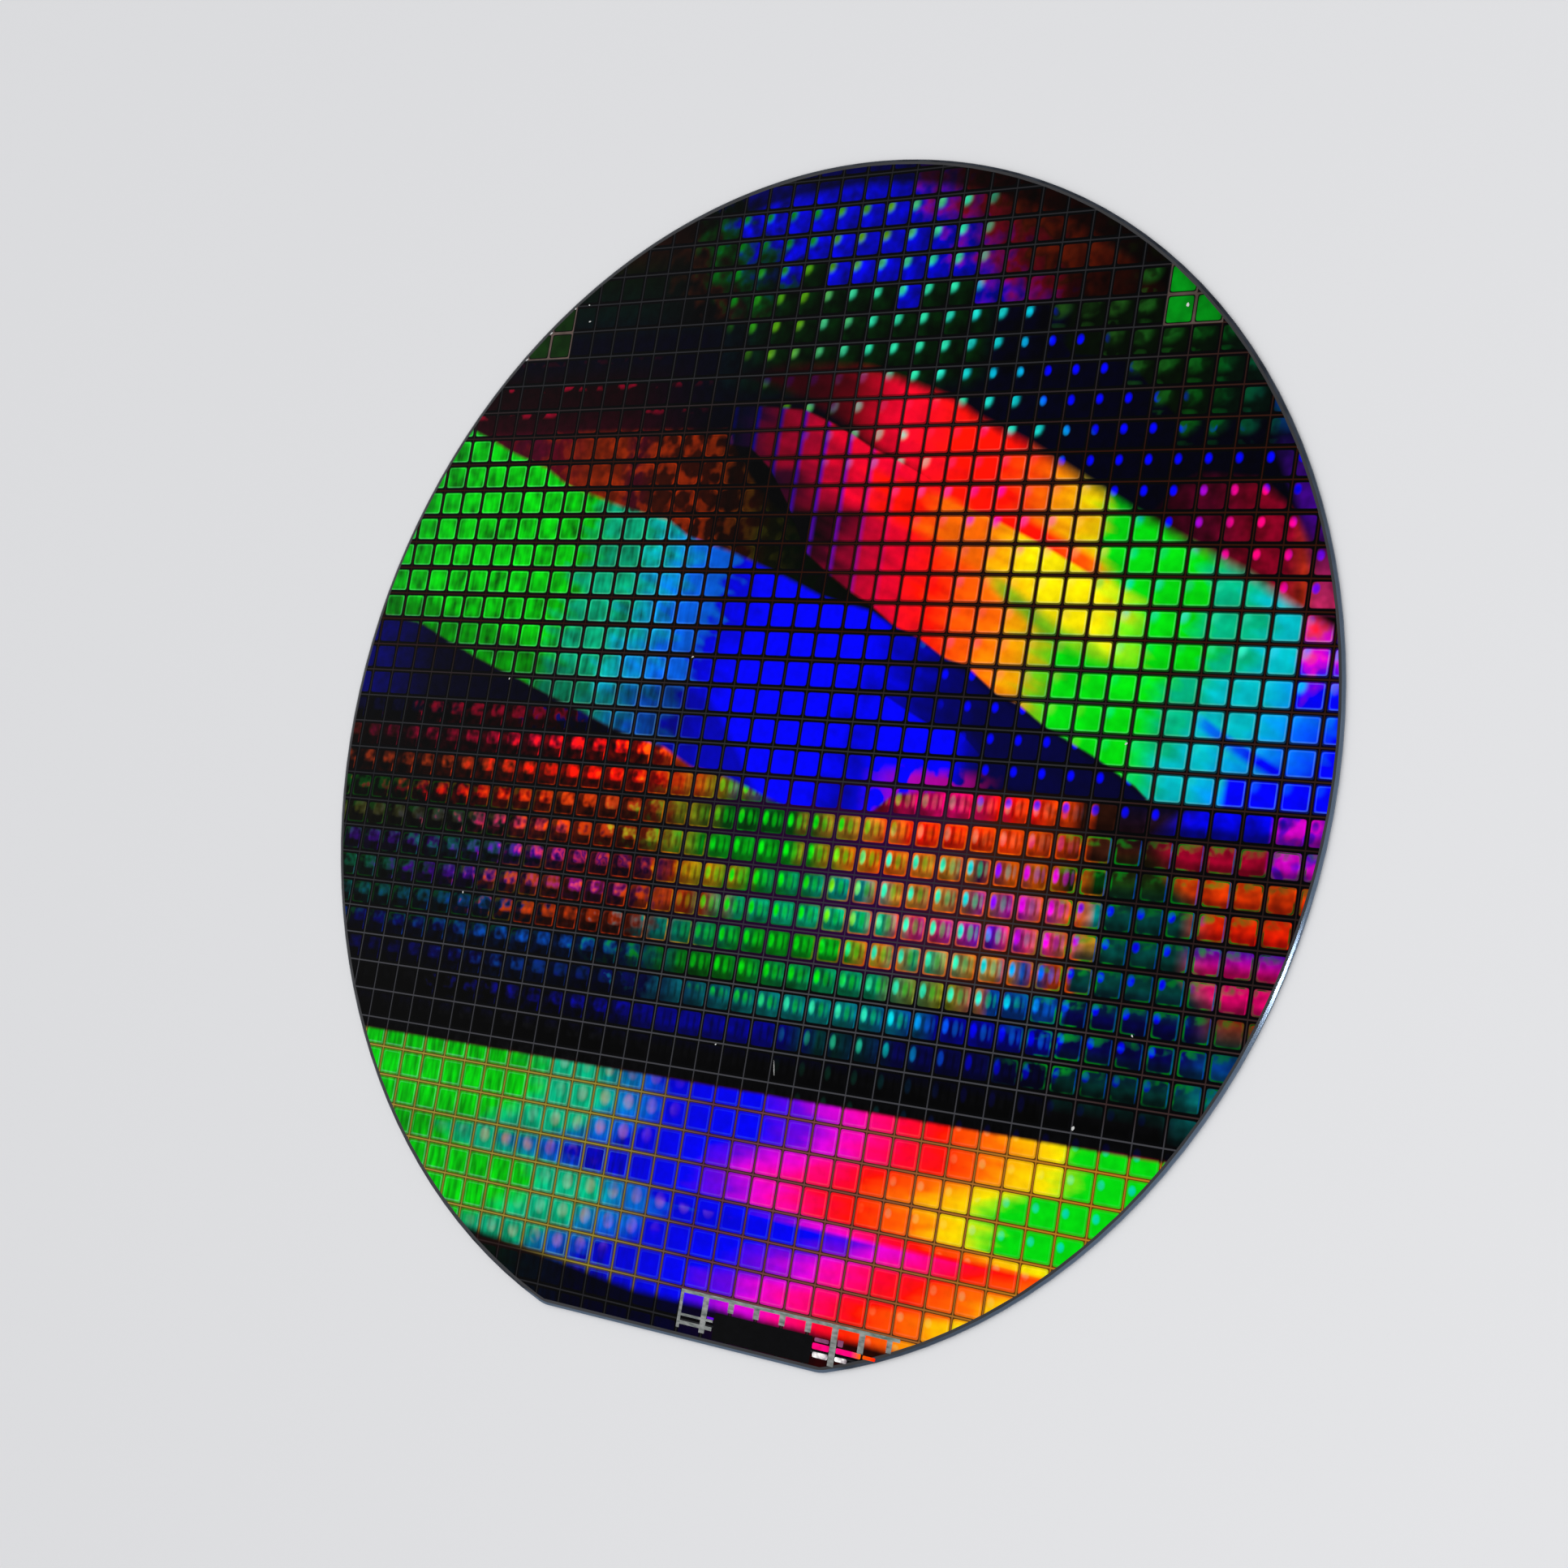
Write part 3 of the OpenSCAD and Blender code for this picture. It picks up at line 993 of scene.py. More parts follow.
# %% Colours of the bright block
left_pull = graph(
    down,
    [
        (13, 1.2), (13.9, 1.2), (14.5, 1.6), (15.3, 0.4), (15.9, -0.6), (16.3, -3.0), (16.8, -2.2),
        (17.05, 1.6), (17.9, 1.8), (18.5, 0.9), (19, 0.4), (19.3, -1.0), (20, -1.6), (22, -1.6),
    ],
)
right_pull = graph(
    down,
    [
        (13, 0.2), (14.0, 0.4), (14.9, 0.2), (15.1, -1.2), (16, -2.6), (16.3, -2.2), (16.9, -2.4),
        (17.0, 0.2), (17.25, 0.4), (17.45, 3.2), (17.9, 2.2), (18.2, 0.4), (19, -0.2), (19.3, -1.4),
        (20, -1.8), (21, -2.0),
    ],
)
block_place = scaled(times(left_pull, soft_step(across, 0.5, -3)), -1.0, across)
block_place = scaled(times(right_pull, soft_step(across, -3, 0.5)), -1.0, block_place)
block_streak = noise(times(plain_across, 0.25), plain_down, 2.5, 1.5)
block_place = swayed(block_place, block_streak, 0.5)
block_place = swayed(block_place, chip_luck, 0.5)
block_place = swayed(block_place, u, -0.3)
block_runs = [
    (-16, "green", 0.8), (-9.5, "green", 0.8), (-8.0, "sea"), (-6.2, "sea"), (-5.2, "sky", 0.5),
    (-4.0, "azure", 0.75), (-3.0, "blue", 0.7), (-1.8, "blue", 0.8), (1.6, "blue"), (3.2, "violet"),
    (4.4, "magenta", 0.95), (6.0, "pink"), (7.2, "scarlet"), (8.2, "red"), (9.2, "ember", 1.3),
    (10.2, "orange"), (11.0, "amber"), (12.2, "yellow"), (12.9, "lime"), (13.4, "green"), (22, "green"),
]
block_hue = colours(block_place, block_runs)
block_hue = dim(block_hue, scaled(times(minus(columns, 0.5), soft_step(across, -1, -4)), 0.8, 0.95))
row_shine = [
    (13.3, 0.75), (14.0, 0.9), (15.2, 1.0), (15.9, 0.7), (16.5, 0.62), (17.0, 0.85), (17.8, 0.95),
    (18.6, 1.0), (19.3, 0.7), (20, 0.6),
]
row_shine = outside(times(outside(graph(down, row_shine)), soft_step(across, 0, -4)))
block_hue = dim(block_hue, row_shine)
from_block_top = soft_step(down, 13.34, 13.5)
body = over(body, block_hue, from_block_top)
past_block = minus(down, graph(across, [(-10.5, 19.5), (-5, 20.05), (-2, 20.4), (20, 20.4)]))
faded = soft_step(past_block, -0.15, 0.2)
in_block = times(from_block_top, outside(faded))
print("bright block:", len(tree.nodes), "nodes")

# %% Pale spots in the bright block
pale_spot = die_oval(0.52, 0.4, 0.14, 0.17, 0.95)
pale_runs = [
    (-10, "lime", 0.8), (-7.5, "ice", 0.8), (-5.5, "peach", 0.9), (-3.5, "lilac", 0.8), (-2, "violet"),
]
pale_on = times(soft_step(block_place, -10.0, -7.0), soft_step(block_place, -1.6, -3.2))
pale_on = times(pale_on, in_block, pale_spot, scaled(uneven, 0.45, 0.05))
body = over(body, colours(block_place, pale_runs), pale_on)
mirror_spot = die_oval(0.22, 0.36, 0.08, 0.1, 0.9)
mirror_runs = [(8, "orange"), (9.5, "peach"), (12, "yellow"), (13.2, "mint"), (15, "cyan")]
mirror_on = times(soft_step(block_place, 8.0, 9.5), in_block, mirror_spot)
body = over(body, colours(block_place, mirror_runs), times(mirror_on, 0.5))
bright_seal = either(seal_line, times(inner_line, 0.5))
bright_seal = times(bright_seal, in_block, scaled(soft_step(across, -2, -5), 0.18, 0.03))
body = over(body, written("ice", 0.9), bright_seal)
body = dim(body, scaled(faded, -0.985, 1.0))
print("pale spots:", len(tree.nodes), "nodes")

# %% [markdown]
# ## Spots of the upper half
#
# The spots stay bright where their chips are dark. Over the dark ground they go from green
# through mint and cyan to deep blue, and inside the rainbow band they are pale and few. At the top left
# they are a glow in the corner of the array. In the dark right part they are round and full.

# %% Upper spots
spot_start = graph(
    down,
    [
        (-19, 4.5), (-15.5, 3.2), (-14.5, 2.0), (-12.5, 0.5), (-11.5, 0.2), (-10.5, 0.8), (-9.5, 1.7),
        (-8.5, 2.6), (-7.5, 1.0), (-6.5, -2.0), (5, -2),
    ],
)
upper_spot_at = minus(across, spot_start)
upper_spot_at = swayed(upper_spot_at, chip_luck, 1.8)
ground_spot_runs = [
    (-14, "pine", 0.3), (-9, "forest", 0.8), (-6, "leaf", 0.8), (-2.5, "lime", 0.35), (0, "mint", 0.7),
    (3.4, "mint", 0.9), (5.6, "cyan", 0.8), (6.6, "sky", 0.8), (7.4, "blue"), (17, "blue"),
    (20, "royal"),
]
band_spot_runs = [
    (-4, "royal", 0.6), (-1, "violet", 0.7), (1, "lilac", 0.7), (3, "rose"), (5, "rose", 1.3),
    (6.5, "magenta", 0.8), (8, "pink", 1.2), (10, "peach"), (11.6, "lime"), (12.2, "cyan"),
    (14, "mint", 0.9), (16, "mint"), (18.2, "sky", 1.1), (20, "azure"),
]
crimson_spot_runs = [
    (13, "blue"), (14.6, "magenta", 0.5), (15.6, "pink"), (17, "pink"), (18, "violet"), (20, "violet"),
]
spot_hue = over(colours(upper_spot_at, ground_spot_runs), colours(across, band_spot_runs), in_band)
in_corner = times(soft_step(minus(down, corner_top), -0.2, 0.2), soft_step(across, 13.5, 14.2))
in_corner = times(in_corner, outside(in_band), soft_step(down, 1.5, 0.5))
spot_hue = over(spot_hue, colours(across, crimson_spot_runs), in_corner)

first_spot = graph(
    down,
    [(-19, -4), (-16, -7), (-12, -4), (-10, -2.5), (-8, 0), (-6, 3), (-3, 6), (-1, 5), (1, 7), (4, 8)],
)
spot_on = times(soft_step(down, 4.0, 3.0), soft_step(minus(across, first_spot), -0.6, 1.0))
in_blue = times(sweep, soft_step(across, 5.5, 4.5))
spot_on = times(spot_on, outside(in_blue))
near_wedge = minus(down, graph(across, shelf_low))
near_wedge = soft_step(calc("ABSOLUTE", plus(near_wedge, 0.5)), 0.7, 0.3)
near_wedge = times(near_wedge, soft_step(across, 0.0, 0.6), soft_step(across, 4.9, 4.2))
spot_hue = over(spot_hue, written("ice"), times(near_wedge, 0.85))
mid_band = soft_step(calc("ABSOLUTE", plus(above_line, -0.4)), 0.5, 1.3)
mid_band = times(mid_band, outside(near_wedge))
spot_on = times(spot_on, scaled(times(in_band, mid_band), -0.85, 1.0))
spot_on = times(spot_on, scaled(times(in_band, soft_step(chip_luck, 0.55, 0.45)), -0.6, 1.0))
no_spots = times(soft_step(down, -12.9, -13.1), soft_step(across, 4.0, 6.0))
no_spots = either(no_spots, soft_step(down, -16.9, -17.1))
far_right = minus(
    across,
    graph(row, [(-14, 7.4), (-13, 7.9), (-12, 9.9), (-11, 10.9), (-10, 12.9), (-9, 15), (-8, 18)]),
)
no_spots = either(no_spots, times(soft_step(down, -7.9, -8.1), soft_step(far_right, -0.1, 0.4)))
spot_on = times(spot_on, outside(no_spots))
full_spots = times(soft_step(upper_spot_at, 5.0, 6.6), outside(in_band))
spot_shape = scaled(full_spots, minus(spot, corner_spot), corner_spot)
body = over(body, spot_hue, times(spot_shape, spot_on))
print("upper spots:", len(tree.nodes), "nodes")

# %% Moss green rims at the upper right
rim_start = graph(
    row, [(-14, 10.8), (-13, 7.8), (-12, 9.8), (-11, 10.8), (-10, 11.8), (-9, 12.8), (-8, 13.8)]
)
mossy = times(soft_step(down, -7.8, -8.6), soft_step(minus(across, rim_start), 0, 0.2))
mossy = times(mossy, soft_step(down, -14.02, -13.98))
moss_shape = times(moss_glow, scaled(soft_step(mottle, 0.3, 0.65), 0.75, 0.25))
moss_shape = either(moss_shape, times(low_cloud, soft_step(mottle, 0.35, 0.6), 0.4))
moss_runs = [
    (5, "olive", 0.2), (8, "moss", 1.6), (10, "moss", 2.2), (14, "forest", 0.9), (16, "pine", 0.8),
]
body = over(body, colours(across, moss_runs), times(mossy, moss_shape))

# %% [markdown]
# ## Scribe lines
#
# Between the chips lie the scribe lines, where a saw would later part them. They hold only thin metal
# rules, so they look black with a fine line along the middle: grey in the dark parts, tan and reddish
# in the bright block. In the two bright zones light spreads over the whole chip and leaves the lines thin.

# %% Scribe lines and the finished colour
wide_band = times(in_band, graph(across, [(-2, 0.5), (4, 0.4), (8, 0.22), (12, 0.1)]))
wide_block = times(in_block, graph(across, [(-12, 0.6), (-4, 0.6), (0, 0.85), (12, 0.8)]))
wide_light = times(either(wide_band, wide_block), whole_chip)
shown = either(array_block, wide_light)
lit_line = either(seal_line, times(inner_line, 0.5))
lit_line = times(lit_line, either(times(in_band, soft_step(across, 4, 10)), times(sweep, mottled)))
body = over(body, written("ice", 0.8), times(lit_line, 0.13))
grain = scaled(either(in_band, either(in_block, sweep)), -0.4, 0.6)
body = dim(body, plus(1.0, times(minus(grit, 0.5), grain)))
line_across = calc("ABSOLUTE", minus(calc("FRACT", plus(v, 0.5)), 0.5))
line_down = calc("ABSOLUTE", minus(calc("FRACT", plus(u, 0.5)), 0.5))
rule = either(soft_step(line_across, 0.032, 0.016), times(soft_step(line_down, 0.028, 0.014), 0.8))
rule_runs = [
    (-19, "slate", 0.35), (-11, "slate", 0.5), (-8, "umber", 0.7), (-2, "umber", 0.7),
    (1, "slate", 0.5), (4, "slate", 0.6), (10, "slate", 1.3), (13.2, "slate", 1.2),
    (13.5, "umber", 0.8), (19.6, "umber", 0.8), (20.4, "slate", 0.4), (22, "slate", 0.4),
]
gap = colours(
    down, [(-19, "black"), (13.3, "black"), (13.5, "umber", 0.4), (19.5, "umber", 0.4), (20.3, "black")]
)
warm_gap = colours(
    across, [(-4, "black"), (0, "plum", 0.5), (5, "plum"), (9, "umber"), (12.5, "black")]
)
in_warm_gap = times(soft_step(down, 2.5, 4.0), soft_step(down, 9.5, 8.5))
gap = over(gap, warm_gap, in_warm_gap)
rule_hue = colours(down, rule_runs)
near_right = times(soft_step(across, 11, 14), soft_step(down, 13, 12), 0.7)
rule_hue = over(rule_hue, written("umber", 0.9), near_right)
gap = over(gap, rule_hue, times(rule, scaled(in_warm_gap, -0.4, 1.0)))
block_gap = colours(
    across,
    [(-18, "tan", 0.9), (-4, "tan", 0.75), (0, "mauve", 0.7), (6, "clay", 0.7), (12, "gold", 0.7)],
)
block_gap = over(dim(block_gap, 0.22), block_gap, rule)
gap = over(gap, block_gap, in_block)
colour = over(gap, body, shown)
print("scribe lines:", len(tree.nodes), "nodes")


# %% Hand the colour to the shader
def film_gloss(shader):
    """A film on silicon: half a mirror, tinted by its base colour."""
    shader.inputs["Metallic"].default_value = 0.55
    shader.inputs["Specular IOR Level"].default_value = 0.03


film_gloss(chip_shader)
wire(colour, chip_shader.inputs["Base Color"])
wire(scaled(array_block, -0.14, 0.42), chip_shader.inputs["Roughness"])
print("chip finish:", len(tree.nodes), "nodes")

# %% [markdown]
# ## Bare silicon
#
# Outside the chips the silicon shows. Its face is polished nearly black, its rounded edge is dark with
# a blue grey reflection painted on its right side and along the flat, and its back is etched matt and
# keeps the faint arcs of the grinding wheel. One material does all three: the height of a point tells
# the face from the edge and the edge from the back.

# %% Silicon
silicon, silicon_shader = start_material("silicon_finish")
side_x, side_y, upward = object_place()
height = times(upward, 1.0 / MM)
THICKNESS = FACE_Z / MM
NEAR, FAR = 0.002, 0.012
on_face = soft_step(height, THICKNESS - FAR, THICKNESS - NEAR)
on_back = soft_step(height, FAR, NEAR)
around = calc("ARCTAN2", side_y, side_x)
edge_grain = noise(times(around, 14.0), times(height, 1.0), 2.0, 2.0)
edge_colour = over((0.02, 0.024, 0.032, 1), (0.06, 0.07, 0.09, 1), edge_grain)
# Painted reflection: the dark edge turns blue grey on its right side and along the flat.
painted_reflection_right = soft_step(calc("ABSOLUTE", plus(around, 0.35)), 1.1, 0.3)
painted_reflection_at_flat = soft_step(side_y, -0.0935, -0.0952)
edge_colour = over(edge_colour, (0.22, 0.30, 0.42, 1), times(either(painted_reflection_right, painted_reflection_at_flat), 0.6))
face_cloud = noise(times(side_x, 30.0), times(side_y, 30.0), 2.0, 2.0)
face_colour = over((0.010, 0.010, 0.012, 1), (0.022, 0.022, 0.026, 1), face_cloud)
ARC_MIDDLE = 0.07
arc_x = minus(side_x, ARC_MIDDLE)
arc_y = minus(side_y, ARC_MIDDLE)
arc_reach = calc("SQRT", plus(calc("POWER", arc_x, 2.0), calc("POWER", arc_y, 2.0)))
grind_marks = noise(times(arc_reach, 900.0), times(calc("ARCTAN2", arc_y, arc_x), 4.0), 2.0, 3.0)
back_colour = over((0.115, 0.12, 0.13, 1), (0.19, 0.195, 0.205, 1), grind_marks)
silicon_colour = over(edge_colour, face_colour, on_face)
silicon_colour = over(silicon_colour, back_colour, on_back)
wire(silicon_colour, silicon_shader.inputs["Base Color"])
wire(scaled(on_face, -0.75, 0.85), silicon_shader.inputs["Metallic"])
rough = scaled(edge_grain, 0.05, 0.12)
rough = scaled(on_back, scaled(grind_marks, 0.12, 0.25), rough)
wire(rough, silicon_shader.inputs["Roughness"])
silicon_shader.inputs["Specular IOR Level"].default_value = 0.3
grind_bump = tree.nodes.new("ShaderNodeBump")
grind_bump.inputs["Strength"].default_value = 0.25
grind_bump.inputs["Distance"].default_value = 0.00001
wire(times(grind_marks, on_back), grind_bump.inputs["Height"])
wire(grind_bump.outputs[0], silicon_shader.inputs["Normal"])
wafer.material_slots[0].material = silicon
print("silicon:", len(tree.nodes), "nodes")

# %% [markdown]
# ## Model one chip
#
# A chip is a stack of flat films, so it is modelled as low blocks that stand on each other: the floor
# of the scribe line, the chip, its array with rounded corners, and two oval films on the array.
# The blocks are drawn in millimetres, where one unit is one millimetre, because Blender's tools merge
# points that lie closer than a tenth of a millimetre in metres. The finished chip is then made small.

# %% Tools for drawing a block
# The lowest and highest level of each block, in millimetres above the face.
LEVELS = {
    "street": (-0.0005, 0.003), "chip": (0.0015, 0.008), "array": (0.006, 0.016),
    "patch": (0.014, 0.019), "spot": (0.014, 0.0205), "frame": (0.0015, 0.01), "plate": (0.0015, 0.007),
}
SLOPED_SHARE = 0.4
OVAL_SIDES = 12


def select_only(*pieces):
    bpy.ops.object.select_all(action="DESELECT")
    for piece in pieces:
        piece.select_set(True)
    bpy.context.view_layer.objects.active = pieces[0]


def edit(piece, kind, wanted):
    """Opens a piece for editing with only the wanted vertices, edges or faces selected."""
    select_only(piece)
    bpy.ops.object.mode_set(mode="EDIT")
    bpy.ops.mesh.select_mode(type=kind)
    bpy.ops.mesh.select_all(action="DESELECT")
    mesh = bmesh.from_edit_mesh(piece.data)
    for item in {"VERT": mesh.verts, "EDGE": mesh.edges, "FACE": mesh.faces}[kind]:
        item.select_set(wanted(item))
    bmesh.update_edit_mesh(piece.data)


def stop_edit():
    bpy.ops.object.mode_set(mode="OBJECT")


def upright(edge):
    a, b = edge.verts
    return abs(a.co.z - b.co.z) > 1e-6


def block(name, u_low, u_high, v_low, v_high, corner=0.0, steps=1, slope=0.0):
    """A low block, in millimetres about the middle of the chip. Its upright edges are rounded by
    corner, and its top edge slopes over the given width."""
    low, high = LEVELS[name]
    shoulder = high - SLOPED_SHARE * (high - low) if slope else high
    middle_x = ((u_low + u_high) / 2 - 0.5) * PITCH_X / MM
    middle_y = (0.5 - (v_low + v_high) / 2) * PITCH_Y / MM
    bpy.ops.object.select_all(action="DESELECT")
    bpy.ops.mesh.primitive_cube_add(size=1, location=(middle_x, middle_y, (low + shoulder) / 2))
    piece = bpy.context.object
    piece.name = "block_" + name
    piece.scale = ((u_high - u_low) * PITCH_X / MM, (v_high - v_low) * PITCH_Y / MM, shoulder - low)
    bpy.ops.object.transform_apply(location=True, rotation=True, scale=True)
    if corner:
        edit(piece, "EDGE", upright)
        bpy.ops.mesh.bevel(offset=corner, segments=steps, affect="EDGES")
        stop_edit()
    if slope:
        edit(piece, "FACE", lambda face: face.normal.z > 0.9)
        bpy.ops.mesh.inset(thickness=slope)
        bpy.ops.transform.translate(value=(0, 0, high - shoulder))
        stop_edit()
    return piece


def oval_block(name, u_middle, v_middle, half_u, half_v):
    """A low oval block with few sides."""
    low, high = LEVELS[name]
    bpy.ops.object.select_all(action="DESELECT")
    bpy.ops.mesh.primitive_cylinder_add(
        vertices=OVAL_SIDES,
        radius=1.0,
        depth=high - low,
        location=((u_middle - 0.5) * PITCH_X / MM, (0.5 - v_middle) * PITCH_Y / MM, (low + high) / 2),
    )
    piece = bpy.context.object
    piece.scale = (half_u * PITCH_X / MM, half_v * PITCH_Y / MM, 1)
    bpy.ops.object.transform_apply(location=True, rotation=True, scale=True)
    return piece


def finish_design(name, blocks):
    """Joins drawn blocks, brings them to metres and keeps only their mesh."""
    select_only(*blocks)
    bpy.ops.object.join()
    drawn = bpy.context.object
    drawn.scale = (MM, MM, MM)
    bpy.ops.object.transform_apply(location=True, rotation=True, scale=True)
    mesh = drawn.data
    mesh.name = name
    bpy.data.objects.remove(drawn)
    print(name, "has", len(mesh.polygons), "faces")
    return mesh


# %% Model the chip
chip_design = finish_design(
    "chip",
    [
        block("street", 0.0, 1.0, 0.0, 1.0),
        block("chip", 0.04, 0.96, 0.045, 0.955, 0.1, 1),
        block("array", 0.075, 0.92, 0.09, 0.9, 0.14, 2, 0.08),
        oval_block("spot", 0.21, 0.36, 0.11, 0.2),
        oval_block("patch", 0.61, 0.42, 0.12, 0.25),
    ],
)

# %% [markdown]
# ## Cells that aren't chips
#
# At two places near the upper edge the grid holds plain plates in a wide frame, which machines use to
# find the grid. Along the flat a row of chips is cut short to make room for a metal rail, and below
# the rail the cells are bare. Each of these is drawn once, as the chip was.

# %% Model the other cells
plate_design = finish_design(
    "alignment_cell",
    [
        block("street", 0.0, 1.0, 0.0, 1.0),
        block("frame", 0.0, 0.05, 0.0, 1.0),
        block("frame", 0.95, 1.0, 0.0, 1.0),
        block("frame", 0.05, 0.95, 0.0, 0.055),
        block("frame", 0.05, 0.95, 0.945, 1.0),
        block("plate", 0.085, 0.915, 0.09, 0.91, 0.12, 2, 0.06),
    ],
)
short_design = finish_design(
    "short_chip",
    [
        block("street", 0.0, 1.0, 0.0, 1.0),
        block("chip", 0.12, 0.88, 0.17, 0.5, 0.1, 1),
        block("array", 0.14, 0.86, 0.18, 0.48, 0.14, 2, 0.08),
    ],
)
bare_design = finish_design("bare_cell", [block("street", 0.0, 1.0, 0.0, 1.0)])

# %% [markdown]
# ## Lay the cells out
#
# Each cell gets a copy of its design, with its own mesh. A cell that runs past the printed area is cut
# along it, and its open side is closed again. The copies are joined in fields of eight by eight, because
# Blender slows down with thousands of objects, while a field is still small enough for one texture.


# %% Lay one cell
SLIVER = 0.2 * MM


def cut_away(piece, point, outward):
    """Cuts a piece by an upright plane, keeps the inner side and closes every open loop."""
    edit(piece, "FACE", lambda face: True)
    bpy.ops.mesh.bisect(plane_co=point, plane_no=outward, clear_outer=True, threshold=1e-9)
    bpy.ops.mesh.select_all(action="SELECT")
    bpy.ops.mesh.fill_holes(sides=0)
    stop_edit()


def place_cell(design, cell_column, cell_row):
    """A copy of a design in its cell, cut where it runs past the printed area. It is None outside the
    area and where only a sliver would show."""
    middle = Vector((place_x(cell_column + 0.5), place_y(cell_row + 0.5), FACE_Z))
    half_x, half_y = PITCH_X / 2, PITCH_Y / 2
    near = math.hypot(max(abs(middle.x) - half_x, 0), max(abs(middle.y) - half_y, 0))
    far = math.hypot(abs(middle.x) + half_x, abs(middle.y) + half_y)
    if near > PRINTED_RADIUS - SLIVER or middle.y + half_y < PRINTED_FLAT + SLIVER:
        return None
    copy = bpy.data.objects.new("cell_copy", design.copy())
    copy.data.transform(Matrix.Translation(middle))
    bpy.context.scene.collection.objects.link(copy)
    if far > PRINTED_RADIUS:
        outward = Vector((middle.x, middle.y, 0)).normalized()
        cut_away(copy, outward * PRINTED_RADIUS, outward)
    if middle.y - half_y < PRINTED_FLAT:
        cut_away(copy, (0, PRINTED_FLAT, 0), (0, -1, 0))
    return copy if len(copy.data.polygons) else None


def seen_from_above(piece):
    """A UV map named OFBake, laid flat over the piece from above."""
    mesh = piece.data
    corners = [mesh.vertices[loop.vertex_index].co for loop in mesh.loops]
    low_x, low_y = min(c.x for c in corners), min(c.y for c in corners)
    size = max(max(c.x for c in corners) - low_x, max(c.y for c in corners) - low_y)
    spots = [part for c in corners for part in ((c.x - low_x) / size, (c.y - low_y) / size)]
    mesh.uv_layers.new(name="OFBake").uv.foreach_set("vector", spots)


def finish_piece(name, copies, finish):
    """Joins cell copies into one piece with its finish and rides it on the wafer."""
    select_only(*copies)
    bpy.ops.object.join()
    piece = bpy.context.object
    piece.name = name
    piece.data.name = name
    piece.data.materials.clear()
    piece.data.materials.append(finish)
    seen_from_above(piece)
    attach(piece, "root")
    return piece


# %% Lay out the fields of chips
FIELD_SIZE = 8
ALIGNMENT_CELLS = {
    "alignment_left": [(-13, -13), (-13, -14), (-14, -13)],
    "alignment_right": [(12, -13), (12, -14), (13, -13)],
}
set_apart = [cell for cells in ALIGNMENT_CELLS.values() for cell in cells]


def design_of(cell_column, cell_row):
    if 0 <= cell_column <= 8 and cell_row == 20:
        return short_design
    if 0 <= cell_column <= 7 and cell_row == 21:
        return bare_design
    return chip_design


fields = []
for band in range(5):
    for bay in range(5):
        rows = [r for r in ROWS if min((r - ROWS[0]) // FIELD_SIZE, 4) == band]
        columns_here = [c for c in COLUMNS if (c - COLUMNS[0]) // FIELD_SIZE == bay]
        cells = [(c, r) for r in rows for c in columns_here if (c, r) not in set_apart]
        copies = [place_cell(design_of(c, r), c, r) for c, r in cells]
        copies = [copy for copy in copies if copy]
        if copies:
            fields.append(finish_piece(f"field_{band + 1}_{bay + 1}", copies, chip_painted_rainbow))
print(len(fields), "fields,", sum(len(f.data.polygons) for f in fields), "faces")

# %% [markdown]
# ## Alignment cells
#
# The plates are plain film, which shows one even green: deep at the left, bright at the right, where
# they stand in the light. Their frames are bare metal. The same grid coordinates as before tell plate
# from frame.

# %% Alignment cells
alignment_finish, alignment_shader = start_material("alignment_finish")
across, down = grid_place()
u = calc("FRACT", plus(across, 40.0))
v = calc("FRACT", plus(down, 40.0))
on_plate = die_box(0.08, 0.92, 0.085, 0.915, 0.03, 12)
on_frame = outside(die_box(0.045, 0.955, 0.05, 0.95, 0.02, 14))
cloud = noise(across, down, 1.5, 2.0)
plate_green = colours(
    across, [(-14, "moss", 1.0), (-12, "moss", 0.7), (12, "leaf", 0.85), (14, "leaf", 0.6)]
)
plate_green = dim(plate_green, scaled(cloud, 0.7, 0.65))
frame_grey = colours(across, [(-14, "mud"), (-12, "mud", 1.1), (12, "mud", 0.7), (14, "mud", 0.85)])
frame_grey = dim(frame_grey, scaled(cloud, 0.6, 0.7))
cell_colour = over(written("black"), frame_grey, on_frame)
cell_colour = over(cell_colour, plate_green, on_plate)
wire(cell_colour, alignment_shader.inputs["Base Color"])
wire(scaled(cloud, 0.1, 0.28), alignment_shader.inputs["Roughness"])
film_gloss(alignment_shader)
for name, cells in ALIGNMENT_CELLS.items():
    copies = [place_cell(plate_design, c, r) for c, r in cells]
    finish_piece(name, [copy for copy in copies if copy], alignment_finish)
print("alignment cells:", list(ALIGNMENT_CELLS))

# %% [markdown]
# ## Rail and code plate by the flat
#
# Beside the flat lies a metal rail with short teeth, one under each scribe line. It frames the plate
# where a maker burns in the number of the wafer, which stays bare here. A few loose bars of film lie at
# its right end. All of it is drawn as bars, whose places are counted in chips.


# %% Tool for a bar
def bar(level, i_low, i_high, j_low, j_high, corner=0.05):
    """A low bar with rounded corners, in millimetres, between places counted in chips."""
    low, high = level
    left, right = place_x(i_low) / MM, place_x(i_high) / MM
    top, bottom = place_y(j_low) / MM, place_y(j_high) / MM
    bpy.ops.object.select_all(action="DESELECT")
    bpy.ops.mesh.primitive_cube_add(
        size=1, location=((left + right) / 2, (top + bottom) / 2, THICKNESS + (low + high) / 2)
    )
    piece = bpy.context.object
    piece.name = "bar"
    piece.scale = (right - left, top - bottom, high - low)
    bpy.ops.object.transform_apply(location=True, rotation=True, scale=True)
    edit(piece, "EDGE", upright)
    bpy.ops.mesh.bevel(offset=corner, segments=2, affect="EDGES")
    stop_edit()
    return piece


